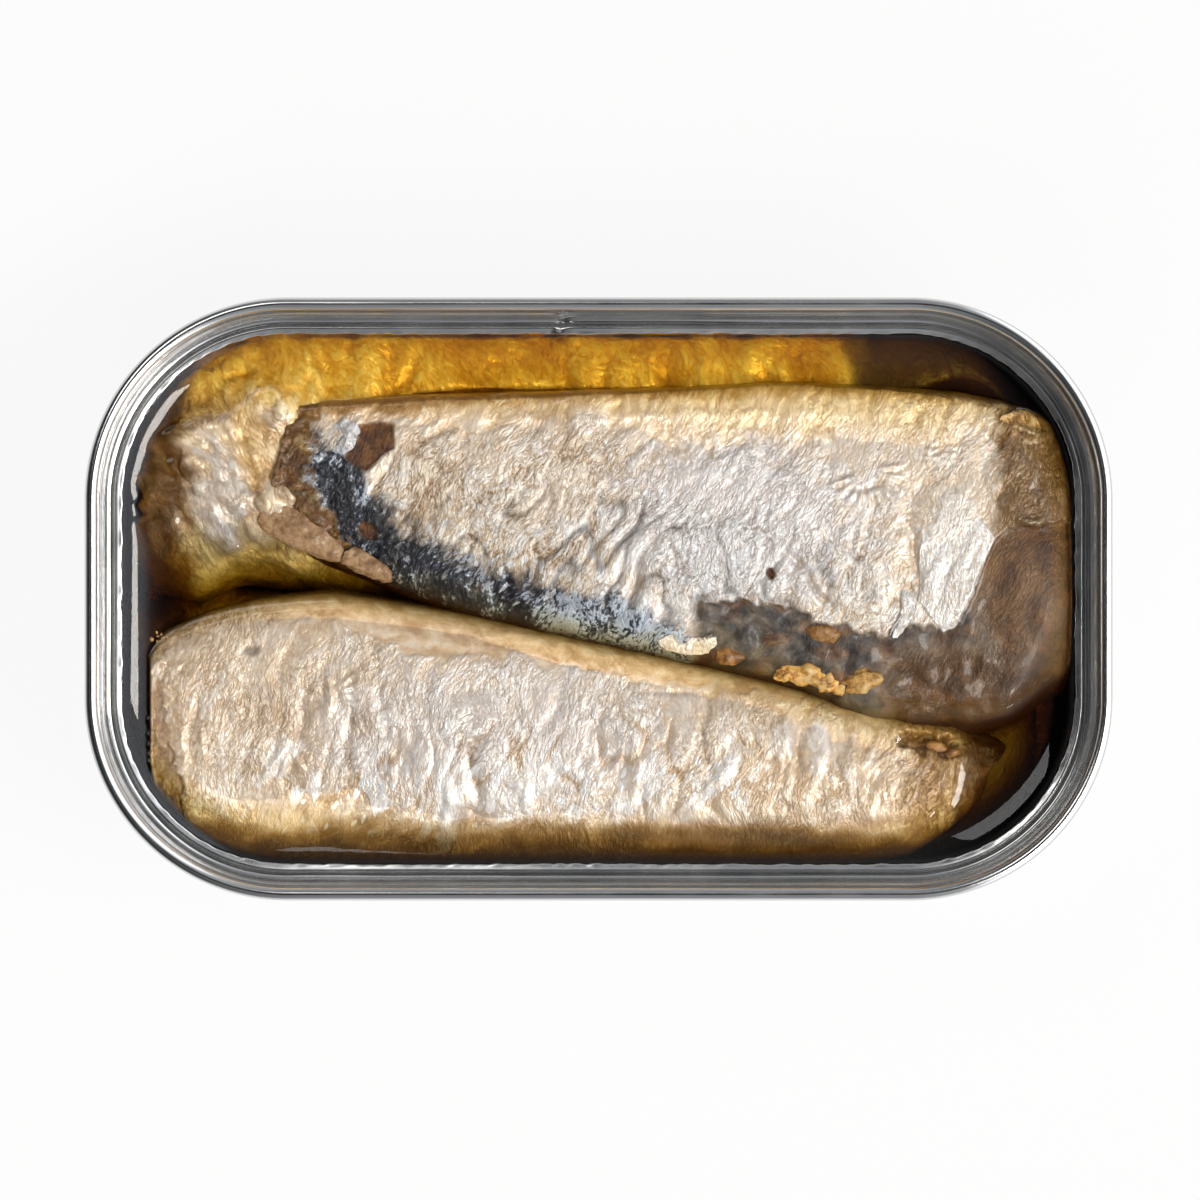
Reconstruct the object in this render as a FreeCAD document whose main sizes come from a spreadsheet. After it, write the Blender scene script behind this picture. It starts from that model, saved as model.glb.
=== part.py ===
"""An open tin of mackerel in oil, in millimetres, +Z up.

The tin is a drawn can, shaped like a long rounded rectangle, with an easy-open lid seamed onto it.
The lid has been peeled off along its score, so what is left of it is the ring that the seam holds:
the double seam, the sloping chuck wall, the groove and a narrow torn ledge. Inside lie four fish
in two layers and two loose flakes of flesh, in oil that stands a little below the highest backs.

The origin is the middle of the footprint, at the height that the tin stands on. +X runs along the
tin towards the head end of the back fish, and +Y runs from the front fish to the back one.
"""
import FreeCAD, Part
import math
import os
import Sketcher

Vector = FreeCAD.Vector
doc = FreeCAD.newDocument("mackerel_tin")

# ---------------------------------------------------------------- driving sizes
SIZES = {
    # the tin, outside
    "rim_length": 105.0,        # over the seam
    "rim_width": 61.6,
    "rim_corner": 20.7,         # corner radius of the seam's outer face
    "tin_height": 29.0,
    "body_sheet": 0.22,         # drawn can
    "lid_sheet": 0.24,
    # the double seam, where both sheets are folded into each other
    "seam_gap": 0.04,           # sealing compound between neighbouring layers
    "seam_height": 3.0,
    "body_hook": 1.6,           # straight part of the can's hook
    "cover_hook": 1.55,         # straight part of the lid's hook
    # the lid's ring inside the seam
    "chuck_lean": 27.0,         # degrees off upright
    "ledge_depth": 4.0,         # rim to ledge
    "groove_depth": 4.35,       # rim to the bottom of the groove
    "groove_inset": 2.45,       # outer face of the rim to the bottom of the groove
    "groove_radius": 0.35,
    "ledge_radius": 0.35,
    "torn_inset": 3.57,         # outer face of the rim to the torn edge
    "score_left": 0.10,         # sheet left under the score, which tore
    "score_half": 0.16,         # half of the score's width
    "tear_start": -3.5,         # where the tab's nose broke through, along the back side
    "tear_radius": 0.45,
    # the base
    "base_corner": 2.6,         # inner radius between wall and floor
    "stand_inset": 7.2,         # outer face of the rim to the inner edge of the standing ring
    "stand_step": 0.8,
    "bead_inset": 13.0,         # the same to the edge of the middle panel
    "bead_step": 0.45,
    "panel_lap": 1.5,           # how far the ring profile runs on under the middle panel
    # the oil and what lies in it; depths are measured down from the rim
    "oil_depth": 6.2,
    "layer_height": 12.5,       # where the two layers of fish meet, above the base
    "wall_clearance": 0.45,     # fish to tin
    "fish_clearance": 0.30,     # fish to fish, and fish to floor
    "roundness": 0.8,           # side radius of a fish as a share of its half height
    "tallest": 0.85,            # most height that a fish has as a share of its width
    "parting_y": -5.3,          # the line between front and back fish, at the middle of the tin
    "parting_slope": -0.232,
    "swell": 0.18,              # unevenness along a fish's back
    "swell_length": 23.0,
    # the two fish on top: gaps run from the end wall; each end closes over its reach to a blunt
    # share of the section, on a point at y and at a drop below the back
    "crest_depth": 4.8,
    "front_roll": 4.0,          # degrees, with its inner side up
    "front_start_gap": 5.4,
    "front_start_reach": 17.0,
    "front_start_blunt": 0.62,
    "front_start_y": -13.0,
    "front_start_drop": 1.0,
    "front_end_gap": 11.0,
    "front_end_reach": 20.0,
    "front_end_blunt": 0.3,
    "front_end_y": -17.4,
    "front_end_drop": 1.0,
    "front_tail_drop": 1.0,     # how much its back falls towards the tail
    "front_tail_length": 24.0,
    "back_roll": -2.5,
    "back_edge_gap": 5.5,       # its outer side to the back wall
    "back_turn": -12.0,         # y where its inner side stops following the parting line
    "back_start_gap": 20.6,
    "back_start_reach": 16.0,
    "back_start_blunt": 0.45,
    "back_start_y": 16.4,
    "back_start_drop": 1.0,
    "back_end_gap": 1.2,
    "back_end_reach": 9.0,
    "back_end_blunt": 0.8,
    "back_end_y": 2.5,
    "back_end_drop": 2.0,
    # the two fish below, in the same terms
    "under_slope": 0.4,         # their parting line's slope as a share of the upper one's
    "under_back_depth": 6.3,
    "under_back_flank_depth": 8.2,  # its back along the back wall
    "under_back_shoulder": 20.0,    # length over which it sinks from one to the other
    "under_back_start_gap": 6.2,
    "under_back_start_reach": 9.0,
    "under_back_start_blunt": 0.7,
    "under_back_start_y": 13.0,
    "under_back_start_drop": 4.0,
    "under_back_end_gap": 1.8,
    "under_back_end_reach": 9.0,
    "under_back_end_blunt": 0.7,
    "under_back_end_y": 6.0,
    "under_back_end_drop": 6.0,
    "under_front_depth": 10.4,
    "under_front_start_gap": 4.8,
    "under_front_start_reach": 9.0,
    "under_front_start_blunt": 0.7,
    "under_front_start_y": -13.5,
    "under_front_start_drop": 4.0,
    "under_front_end_gap": 5.8,
    "under_front_end_reach": 10.0,
    "under_front_end_blunt": 0.6,
    "under_front_end_y": -14.0,
    "under_front_end_drop": 4.0,
    # the loose flakes, placed from the back fish's broken end
    "flake_depth": 5.1,
    "large_flake_length": 10.4,
    "large_flake_width": 6.2,
    "large_flake_thickness": 2.8,
    "large_flake_along": 0.9,
    "large_flake_y": 6.2,
    "large_flake_turn": -24.0,
    "small_flake_length": 5.2,
    "small_flake_width": 3.8,
    "small_flake_thickness": 2.4,
    "small_flake_along": 6.9,
    "small_flake_y": 2.8,
    "small_flake_turn": -20.0,
}

sheet = doc.addObject("Spreadsheet::Sheet", "sizes")
for row, (alias, number) in enumerate(SIZES.items(), start=1):
    sheet.set(f"A{row}", alias)
    sheet.set(f"B{row}", str(number))
    sheet.setAlias(f"B{row}", alias)
doc.recompute()


def size(expression):
    """The number that an expression over the sheet's named sizes comes to."""
    return float(sheet.evalExpression(expression))


# Insets are measured from the outer face of the rim towards the middle of the tin. From the outside
# inwards the seam's layers are: lid, can hook, lid hook, can wall, chuck wall.
CAN_HOOK_FACE = "sizes.lid_sheet + sizes.seam_gap"
LID_HOOK_FACE = "2 * sizes.lid_sheet + sizes.body_sheet + 2 * sizes.seam_gap"
WALL_FACE = "2 * sizes.lid_sheet + 2 * sizes.body_sheet + 3 * sizes.seam_gap"
CHUCK_FACE = "3 * sizes.lid_sheet + 2 * sizes.body_sheet + 4 * sizes.seam_gap"
SEAM_MIDDLE = f"({CHUCK_FACE}) / 2"
CREST_CENTRE = f"sizes.tin_height - {SEAM_MIDDLE}"
FOOT_CENTRE = f"sizes.tin_height - sizes.seam_height + ({LID_HOOK_FACE}) / 2"
FLOOR_TOP = "sizes.body_sheet"
STEP_TURN = 60              # degrees of each of the two arcs of a step in the base
PANEL_EDGE = "sizes.bead_inset + 2 * sizes.bead_step"
PANEL_LAP_END = f"{PANEL_EDGE} + sizes.panel_lap"
PANEL_BOTTOM = "sizes.stand_step + sizes.bead_step"
LEDGE_TOP = "sizes.tin_height - sizes.ledge_depth"
GROOVE_TOP = "sizes.tin_height - sizes.groove_depth"
OIL_LEVEL = "sizes.tin_height - sizes.oil_depth"
FISH_FLOOR = "sizes.body_sheet + sizes.stand_step + sizes.bead_step + sizes.fish_clearance"
FISH_WALL = f"{WALL_FACE} + sizes.wall_clearance"
END_WALL = f"sizes.rim_length / 2 - ({WALL_FACE})"


# ---------------------------------------------------------------- sketch helpers
def draw(sketch, start, steps):
    """Draws lines and arcs end to end from start. A step is ("line", end point) or
    ("arc", centre, turn in degrees, plus for anticlockwise). Gives each edge's number with the ends
    that the pen came in and went out by, because a sketch stores every arc anticlockwise."""
    edges = []
    pen = start
    for step in steps:
        if step[0] == "line":
            end = step[1]
            number = sketch.addGeometry(Part.LineSegment(pen, end), False)
            edges.append((number, 1, 2))
        else:
            centre, turn = step[1], math.radians(step[2])
            arm = pen - centre
            begin = math.atan2(arm.y, arm.x)
            circle = Part.Circle(centre, Vector(0, 0, 1), arm.Length)
            low, high = min(begin, begin + turn), max(begin, begin + turn)
            number = sketch.addGeometry(Part.ArcOfCircle(circle, low, high), False)
            edges.append((number, 1, 2) if turn > 0 else (number, 2, 1))
            end = centre + Vector(math.cos(begin + turn), math.sin(begin + turn), 0) * arm.Length
        pen = end
    return edges


def join(sketch, first, second, kind="Tangent"):
    """Holds the end of one edge on the start of the next."""
    sketch.addConstraint(Sketcher.Constraint(kind, first[0], first[2], second[0], second[1]))


def dimension(sketch, name, kind, references, expression, value=None):
    """A named dimension, bound to the sheet."""
    number = size(expression) if value is None else value
    index = sketch.addConstraint(Sketcher.Constraint(kind, *references, number))
    sketch.renameConstraint(index, name)
    sketch.setExpression(f"Constraints.{name}", expression)


def place_outline(sketch, level):
    """Lays a sketch flat at a height."""
    sketch.setExpression("Placement.Base.z", level)


def place_section(sketch):
    """Stands a sketch across the left side of the rim, with x inwards and y up."""
    sketch.Placement = FreeCAD.Placement(Vector(), FreeCAD.Rotation(Vector(1, 0, 0), 90))
    sketch.setExpression("Placement.Base.x", "-sizes.rim_length / 2")


def rim_outline(name, inset, level):
    """The rim's rounded rectangle, moved inwards by an inset. It begins half way along the left
    side, so that a section standing there is square to it."""
    length = size(f"sizes.rim_length - 2 * ({inset})")
    width = size(f"sizes.rim_width - 2 * ({inset})")
    corner = size(f"sizes.rim_corner - ({inset})")
    x, y = length / 2, width / 2
    sketch = doc.addObject("Sketcher::SketchObject", name)
    side = draw(sketch, Vector(-x, 0), [
        ("line", Vector(-x, corner - y)),
        ("arc", Vector(corner - x, corner - y), 90),
        ("line", Vector(x - corner, -y)),
        ("arc", Vector(x - corner, corner - y), 90),
        ("line", Vector(x, y - corner)),
        ("arc", Vector(x - corner, y - corner), 90),
        ("line", Vector(corner - x, y)),
        ("arc", Vector(corner - x, y - corner), 90),
        ("line", Vector(-x, 0)),
    ])
    for first, second in zip(side, side[1:]):
        join(sketch, first, second)
    join(sketch, side[-1], side[0], "Coincident")
    arcs = [side[index][0] for index in (1, 3, 5, 7)]
    for index in (0, 4, 8):
        sketch.addConstraint(Sketcher.Constraint("Vertical", side[index][0]))
    for index in (2, 6):
        sketch.addConstraint(Sketcher.Constraint("Horizontal", side[index][0]))
    for arc in arcs[1:]:
        sketch.addConstraint(Sketcher.Constraint("Equal", arcs[0], arc))
    sketch.addConstraint(Sketcher.Constraint("Symmetric", arcs[0], 3, arcs[2], 3, -1, 1))
    sketch.addConstraint(Sketcher.Constraint("PointOnObject", side[0][0], 1, -1))
    dimension(sketch, "length", "DistanceX", (side[0][0], 1, side[4][0], 1),
              f"sizes.rim_length - 2 * ({inset})")
    dimension(sketch, "width", "DistanceY", (side[2][0], 1, side[6][0], 1),
              f"sizes.rim_width - 2 * ({inset})")
    dimension(sketch, "corner", "Radius", (arcs[0],), f"sizes.rim_corner - ({inset})")
    place_outline(sketch, level)
    return sketch


def swept(name, section, path):
    """A section carried once round the rim's outline."""
    sweep = doc.addObject("Part::Sweep", name)
    sweep.Sections = [section]
    sweep.Spine = (path, [f"Edge{index}" for index in range(1, 10)])
    sweep.Solid = True
    return sweep


def sheet_strip(name, skin, thickness):
    """Gives a drawn skin its sheet thickness, to one side."""
    strip = doc.addObject("Part::Offset2D", name)
    strip.Source = skin
    strip.Mode = "Skin"
    strip.Join = "Arc"
    strip.Fill = True
    strip.setExpression("Value", thickness)
    return strip


# ---------------------------------------------------------------- the tin
def can_skin():
    """The can's skin on its inner side: hook, wall, floor corner, standing ring and base panels."""
    hook_face, wall_face = size(CAN_HOOK_FACE), size(WALL_FACE)
    crest, floor, corner = size(CREST_CENTRE), size(FLOOR_TOP), size("sizes.base_corner")
    panels = [("stand_inset", "stand_step"), ("bead_inset", "bead_step")]
    steps = [
        ("line", Vector(hook_face, crest)),
        ("arc", Vector((hook_face + wall_face) / 2, crest), -180),
        ("line", Vector(wall_face, floor + corner)),
        ("arc", Vector(wall_face + corner, floor + corner), 90),
    ]
    level = floor
    for inset, step in panels:
        edge, rise = size(f"sizes.{inset}"), size(f"sizes.{step}")
        steps += [
            ("line", Vector(edge, level)),
            ("arc", Vector(edge, level + rise), STEP_TURN),
            ("arc", Vector(edge + 2 * rise * math.sin(math.radians(STEP_TURN)), level), -STEP_TURN),
        ]
        level += rise
    steps.append(("line", Vector(size(PANEL_LAP_END), level)))
    skin = doc.addObject("Sketcher::SketchObject", "can_skin")
    edges = draw(skin, Vector(hook_face, crest - size("sizes.body_hook")), steps)
    for first, second in zip(edges, edges[1:]):
        join(skin, first, second)
    hook, wall = edges[0][0], edges[2][0]
    for upright in (hook, wall):
        skin.addConstraint(Sketcher.Constraint("Vertical", upright))
    dimension(skin, "hook_face", "DistanceX", (-1, 1, hook, 1), CAN_HOOK_FACE)
    dimension(skin, "wall_face", "DistanceX", (-1, 1, wall, 1), WALL_FACE)
    dimension(skin, "crest", "DistanceY", (-1, 1, wall, 1), CREST_CENTRE)
    dimension(skin, "hook", "DistanceY", (hook, 1, hook, 2), "sizes.body_hook")
    dimension(skin, "corner", "Radius", (edges[3][0],), "sizes.base_corner")
    dimension(skin, "floor", "DistanceY", (-1, 1, edges[4][0], 1), FLOOR_TOP)
    for index, (inset, step) in enumerate(panels):
        ring, foot, shoulder, panel = [edge[0] for edge in edges[4 + 3 * index:8 + 3 * index]]
        skin.addConstraint(Sketcher.Constraint("Horizontal", ring))
        skin.addConstraint(Sketcher.Constraint("Equal", foot, shoulder))
        dimension(skin, inset, "DistanceX", (-1, 1, ring, 2), f"sizes.{inset}")
        dimension(skin, f"{step}_radius", "Radius", (foot,), f"sizes.{step}")
        dimension(skin, step, "DistanceY", (ring, 2, panel, 1), f"sizes.{step}")
    skin.addConstraint(Sketcher.Constraint("Horizontal", panel))
    dimension(skin, "panel", "DistanceX", (-1, 1, panel, 2), PANEL_LAP_END)
    place_section(skin)
    return skin


def make_can(path):
    """The drawn can in one sheet: its section carried round the rim, and the middle panel."""
    ring = swept("can_ring", sheet_strip("can_strip", can_skin(), "-sizes.body_sheet"), path)
    panel = doc.addObject("Part::Extrusion", "base_panel")
    panel.Base = rim_outline("panel_outline", PANEL_EDGE, PANEL_BOTTOM)
    panel.Solid = True
    panel.setExpression("LengthFwd", "sizes.body_sheet")
    can = doc.addObject("Part::MultiFuse", "can_body")
    can.Shapes = [ring, panel]
    can.Refine = True
    return can


def lid_skin():
    """The lid's skin on its outer side, from the torn edge over the seam to the tip of its hook."""
    torn, ledge = size("sizes.torn_inset"), size(LEDGE_TOP)
    groove_x, groove = size("sizes.groove_inset"), size(GROOVE_TOP)
    groove_radius, ledge_radius = size("sizes.groove_radius"), size("sizes.ledge_radius")
    lean = size("sizes.chuck_lean")
    both = groove_radius + ledge_radius
    rise_turn = math.degrees(math.acos(1 - (ledge - groove) / both))
    shoulder_x = groove_x + both * math.sin(math.radians(rise_turn))
    wall_foot = Vector(groove_x - groove_radius * math.cos(math.radians(lean)),
                       groove + groove_radius * (1 - math.sin(math.radians(lean))))
    chuck_face, crest, foot = size(CHUCK_FACE), size(CREST_CENTRE), size(FOOT_CENTRE)
    knee = wall_foot.y + (wall_foot.x - chuck_face) / math.tan(math.radians(lean))
    hook_face = size(LID_HOOK_FACE)
    skin = doc.addObject("Sketcher::SketchObject", "lid_skin")
    edges = draw(skin, Vector(torn, ledge), [
        ("line", Vector(shoulder_x, ledge)),
        ("arc", Vector(shoulder_x, ledge - ledge_radius), rise_turn),
        ("arc", Vector(groove_x, groove + groove_radius), lean - 90 - rise_turn),
        ("line", Vector(chuck_face, knee)),
        ("line", Vector(chuck_face, crest)),
        ("arc", Vector(chuck_face / 2, crest), 180),
        ("line", Vector(0, foot)),
        ("arc", Vector(hook_face / 2, foot), 180),
        ("line", Vector(hook_face, foot + size("sizes.cover_hook"))),
    ])
    for number, (first, second) in enumerate(zip(edges, edges[1:])):
        join(skin, first, second, "Coincident" if number == 3 else "Tangent")
    rim, shoulder, channel, chuck, upright, bead, outside, seam_foot, hook = [e[0] for e in edges]
    skin.addConstraint(Sketcher.Constraint("Horizontal", rim))
    for line in (upright, outside, hook):
        skin.addConstraint(Sketcher.Constraint("Vertical", line))
    skin.addConstraint(Sketcher.Constraint("PointOnObject", outside, 1, -2))
    dimension(skin, "torn", "DistanceX", (-1, 1, rim, 1), "sizes.torn_inset")
    dimension(skin, "ledge", "DistanceY", (-1, 1, rim, 1), LEDGE_TOP)
    dimension(skin, "shoulder_radius", "Radius", (shoulder,), "sizes.ledge_radius")
    dimension(skin, "groove_radius", "Radius", (channel,), "sizes.groove_radius")
    dimension(skin, "groove_x", "DistanceX", (-1, 1, channel, 3), "sizes.groove_inset")
    dimension(skin, "groove_y", "DistanceY", (-1, 1, channel, 3), f"{GROOVE_TOP} + sizes.groove_radius")
    dimension(skin, "lean", "Angle", (chuck,), "(90 + sizes.chuck_lean) * 1 deg",
              math.radians(90 + lean))
    dimension(skin, "chuck_face", "DistanceX", (-1, 1, upright, 1), CHUCK_FACE)
    dimension(skin, "crest", "DistanceY", (-1, 1, upright, 2), CREST_CENTRE)
    dimension(skin, "foot", "DistanceY", (-1, 1, outside, 2), FOOT_CENTRE)
    dimension(skin, "hook_face", "DistanceX", (-1, 1, hook, 1), LID_HOOK_FACE)
    dimension(skin, "hook", "DistanceY", (hook, 1, hook, 2), "sizes.cover_hook")
    place_section(skin)
    return skin


def make_lid(path):
    """The ring that is left of the lid: the skin's sheet carried round the rim, cut back to the
    score, with the small bite where the tab's nose broke through."""
    ring = swept("lid_ring", sheet_strip("lid_strip", lid_skin(), "sizes.lid_sheet"), path)
    score = doc.addObject("Sketcher::SketchObject", "score_section")
    torn, ledge = size("sizes.torn_inset"), size(LEDGE_TOP)
    bottom = ledge - size("sizes.lid_sheet - sizes.score_left")
    lip = size("sizes.score_half")
    edges = draw(score, Vector(torn, bottom), [
        ("line", Vector(torn + lip, bottom)),
        ("line", Vector(torn + lip, ledge + lip)),
        ("line", Vector(torn - lip, ledge + lip)),
        ("line", Vector(torn - lip, ledge)),
        ("line", Vector(torn, bottom)),
    ])
    for first, second in zip(edges, edges[1:] + edges[:1]):
        join(score, first, second, "Coincident")
    sole, inner, top, outer, slope = [edge[0] for edge in edges]
    for line in (sole, top):
        score.addConstraint(Sketcher.Constraint("Horizontal", line))
    for line in (inner, outer):
        score.addConstraint(Sketcher.Constraint("Vertical", line))
    dimension(score, "torn", "DistanceX", (-1, 1, sole, 1), "sizes.torn_inset")
    dimension(score, "half", "DistanceX", (sole, 1, sole, 2), "sizes.score_half")
    dimension(score, "lip", "DistanceX", (outer, 2, sole, 1), "sizes.score_half")
    dimension(score, "left", "DistanceY", (-1, 1, sole, 1),
              f"{LEDGE_TOP} - sizes.lid_sheet + sizes.score_left")
    dimension(score, "ledge", "DistanceY", (-1, 1, outer, 2), LEDGE_TOP)
    dimension(score, "over", "DistanceY", (outer, 2, outer, 1), "sizes.score_half")
    place_section(score)
    tear = doc.addObject("Part::Cylinder", "tear_start")
    tear.setExpression("Radius", "sizes.tear_radius")
    tear.setExpression("Height", "sizes.groove_depth")
    tear.setExpression("Placement.Base.x", "sizes.tear_start")
    tear.setExpression("Placement.Base.y", "sizes.rim_width / 2 - sizes.torn_inset")
    tear.setExpression("Placement.Base.z", "sizes.tin_height - sizes.groove_depth")
    tools = doc.addObject("Part::MultiFuse", "lid_cuts")
    tools.Shapes = [swept("score_groove", score, path), tear]
    lid = doc.addObject("Part::Cut", "lid_rim")
    lid.Base = ring
    lid.Tool = tools
    return lid


# ---------------------------------------------------------------- the fish
def pressed_oval(x, low_y, high_y, low_z, high_z, roll):
    """A closed wire across a fish: a flattened oval of four arcs that run into each other, turned
    about its middle by a roll in degrees, with the side at high_y up when the roll is plus."""
    half_width = (high_y - low_y) / 2
    half_height = min((high_z - low_z) / 2, half_width * size("sizes.tallest"))
    side = size("sizes.roundness") * half_height
    back = (half_width ** 2 + half_height ** 2 - 2 * half_width * side) / (2 * (half_height - side))
    side_y, back_z = half_width - side, back - half_height
    join_y = back * side_y / (back - side)
    join_z = back * back_z / (back - side) - back_z
    crown = [Vector(x, -join_y, join_z), Vector(x, 0, half_height), Vector(x, join_y, join_z)]
    flank = [Vector(x, join_y, join_z), Vector(x, half_width, 0), Vector(x, join_y, -join_z)]
    arcs = []
    for turn in (1, -1):
        for curve in (crown, flank):
            first, middle, last = [Vector(x, turn * point.y, turn * point.z) for point in curve]
            arcs.append(Part.Arc(first, middle, last).toShape())
    wire = Part.Wire(arcs)
    wire.rotate(Vector(x, 0, 0), Vector(1, 0, 0), roll)
    wire.translate(Vector(0, (low_y + high_y) / 2, (low_z + high_z) / 2))
    return wire


def dome(distance, reach, blunt):
    """How much of its full section a fish has at a distance from its end, rounded over a reach. The
    cut face at the very end has the share blunt."""
    if distance >= reach:
        return 1.0
    short = 1 - max(distance, 0.0) / reach
    return blunt + (1 - blunt) * math.sqrt(1 - short ** 2)


def smooth(value, start, end):
    """Runs from 0 to 1, with soft ends, while a value goes from start to end."""
    share = min(max((value - start) / (end - start), 0.0), 1.0)
    return share * share * (3 - 2 * share)


def wall_y(x):
    """How far from the tin's long axis a fish may reach at x, clear of the wall."""
    inset = size(FISH_WALL)
    corner = size("sizes.rim_corner")
    along = abs(x) - (size("sizes.rim_length") / 2 - corner)
    straight = size("sizes.rim_width") / 2 - corner
    if along <= 0:
        return straight + corner - inset
    return straight + math.sqrt(max((corner - inset) ** 2 - along ** 2, 0.0))


def parting(x, share=1.0):
    """The line along which the front and the back fish lie against each other."""
    return share * size("sizes.parting_y") + share * size("sizes.parting_slope") * x


def loft(name, start, end, sides, heights, closings, roll=0.0, grow=0.0, stations=10):
    """A loft of pressed ovals along the tin. sides(x) and heights(x) give the low and high bounds
    of the section at x. closings gives for each end (reach, blunt, y and z that the end closes on).
    The stations crowd towards the ends. A grown loft is larger all round, to cut others by."""
    wires = []
    for index in range(stations + 1):
        share = (1 - math.cos(math.pi * index / stations)) / 2
        x = start + (end - start) * share
        bounds = [*sides(x), *heights(x)]
        for distance, (reach, blunt, close_y, close_z) in zip((x - start, end - x), closings):
            scale = dome(distance, reach, blunt)
            middle = [close_y, close_y, close_z, close_z]
            bounds = [close + (bound - close) * scale for close, bound in zip(middle, bounds)]
        low_y, high_y, low_z, high_z = bounds
        at = x + {0: -grow, stations: grow}.get(index, 0.0)
        wires.append(pressed_oval(at, low_y - grow, high_y + grow, low_z - grow, high_z + grow, roll))
    feature = doc.addObject("Part::Feature", name)
    feature.Shape = Part.makeLoft(wires, True, False)
    return feature


def fish(name, kind, sides, heights, crest, roll=0.0, grow=0.0):
    """A fish between the tin's end walls, with the gaps and closings that the sheet gives it."""
    start = size(f"sizes.{kind}_start_gap - ({END_WALL})")
    end = size(f"{END_WALL} - sizes.{kind}_end_gap")
    closings = []
    for side in (f"{kind}_start", f"{kind}_end"):
        closings.append((size(f"sizes.{side}_reach"), size(f"sizes.{side}_blunt"),
                         size(f"sizes.{side}_y"), crest - size(f"sizes.{side}_drop")))
    return loft(name, start, end, sides, heights, closings, roll, grow)


def swell(x):
    """The unevenness along a fish's back."""
    return size("sizes.swell") * math.sin(2 * math.pi * x / size("sizes.swell_length"))


def front_fish(name, grow=0.0):
    """The fish along the front wall, its tail to the right."""
    gap = size("sizes.fish_clearance") / 2
    crest = size("sizes.tin_height - sizes.crest_depth")
    tail = size(f"{END_WALL} - sizes.front_end_gap")
    tail_start = tail - size("sizes.front_tail_length")

    def sides(x):
        return -wall_y(x), parting(x) - gap

    def heights(x):
        fall = size("sizes.front_tail_drop") * smooth(x, tail_start, tail)
        return size("sizes.layer_height") + gap, crest + swell(x) - fall

    return fish(name, "front", sides, heights, crest, size("sizes.front_roll"), grow)


def back_fish(name, grow=0.0):
    """The fish along the back, its head end to the right and its broken tail end to the left."""
    gap = size("sizes.fish_clearance") / 2
    crest = size("sizes.tin_height - sizes.crest_depth")
    edge = size(f"sizes.rim_width / 2 - ({WALL_FACE}) - sizes.back_edge_gap")

    def sides(x):
        return max(parting(x) + gap, size("sizes.back_turn")), min(edge, wall_y(x))

    def heights(x):
        return size("sizes.layer_height") + gap, crest + swell(-x)

    return fish(name, "back", sides, heights, crest, size("sizes.back_roll"), grow)


def under_back_fish(name):
    """The lower fish at the back. It swells up past the back fish's broken end, and sinks from
    there to a flank along the back wall."""
    gap = size("sizes.fish_clearance") / 2
    crest = size("sizes.tin_height - sizes.under_back_depth")
    sink = size("sizes.under_back_flank_depth - sizes.under_back_depth")
    shoulder = size(f"sizes.back_start_gap - ({END_WALL})")

    def sides(x):
        return parting(x, size("sizes.under_slope")) + gap, wall_y(x)

    def heights(x):
        length = size("sizes.under_back_shoulder")
        return size(FISH_FLOOR), crest - sink * smooth(x, shoulder, shoulder + length)

    return fish(name, "under_back", sides, heights, crest)


def under_front_fish(name):
    """The lower fish at the front. Its right end shows beside the front fish's tail."""
    gap = size("sizes.fish_clearance") / 2
    crest = size("sizes.tin_height - sizes.under_front_depth")

    def sides(x):
        return -wall_y(x), parting(x, size("sizes.under_slope")) - gap

    def heights(x):
        return size(FISH_FLOOR), crest

    return fish(name, "under_front", sides, heights, crest)


def flake(name, kind, grow=0.0):
    """A loose flake of flesh near the surface, turned about the vertical."""
    length, width = size(f"sizes.{kind}_length"), size(f"sizes.{kind}_width")
    crest = size("sizes.tin_height - sizes.flake_depth")
    thickness = size(f"sizes.{kind}_thickness")
    closings = [(length / 2, 0.5, 0.0, crest - thickness / 2)] * 2
    piece = loft(name, -length / 2, length / 2, lambda x: (-width / 2, width / 2),
                 lambda x: (crest - thickness, crest), closings, grow=grow, stations=6)
    piece.Placement = FreeCAD.Placement(
        Vector(size(f"sizes.back_start_gap - ({END_WALL}) + sizes.{kind}_along"),
               size(f"sizes.{kind}_y"), 0),
        FreeCAD.Rotation(Vector(0, 0, 1), size(f"sizes.{kind}_turn")))
    return piece


def cut(name, base, tools):
    """A base with each tool taken out of it in turn. The last cut carries the name."""
    for number, tool in enumerate(tools, start=1):
        result = doc.addObject("Part::Cut", name if number == len(tools) else f"{name}_{number}")
        result.Base = base
        result.Tool = tool
        base = result
    return result


def make_contents():
    """The four fish and the two flakes. What lies lower gives way, by the clearance, to what lies
    on it."""
    clearance = size("sizes.fish_clearance")
    back_room, front_room = back_fish("back_room", clearance), front_fish("front_room", clearance)
    large_room = flake("large_flake_room", "large_flake", clearance)
    small_room = flake("small_flake_room", "small_flake", clearance)
    fish_room = [back_room, front_room]
    return [
        front_fish("fish_front"),
        back_fish("fish_back"),
        cut("fish_under_back", under_back_fish("under_back"), fish_room + [large_room, small_room]),
        cut("fish_under_front", under_front_fish("under_front"), fish_room),
        cut("flesh_flake_large", flake("large_flake", "large_flake"), fish_room),
        cut("flesh_flake_small", flake("small_flake", "small_flake"), fish_room + [large_room]),
    ]


def make_oil(can, contents):
    """The oil fills the can up to its level, round everything that lies in it."""
    block = doc.addObject("Part::Extrusion", "oil_block")
    block.Base = rim_outline("oil_outline", f"{WALL_FACE} - sizes.body_sheet / 2", "0")
    block.Solid = True
    block.setExpression("LengthFwd", OIL_LEVEL)
    doc.recompute()
    filling = doc.addObject("Part::Feature", "oil_filling")
    filling.Shape = max(block.Shape.cut(can.Shape).Solids, key=lambda solid: solid.Volume)
    return cut("oil", filling, contents)


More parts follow.
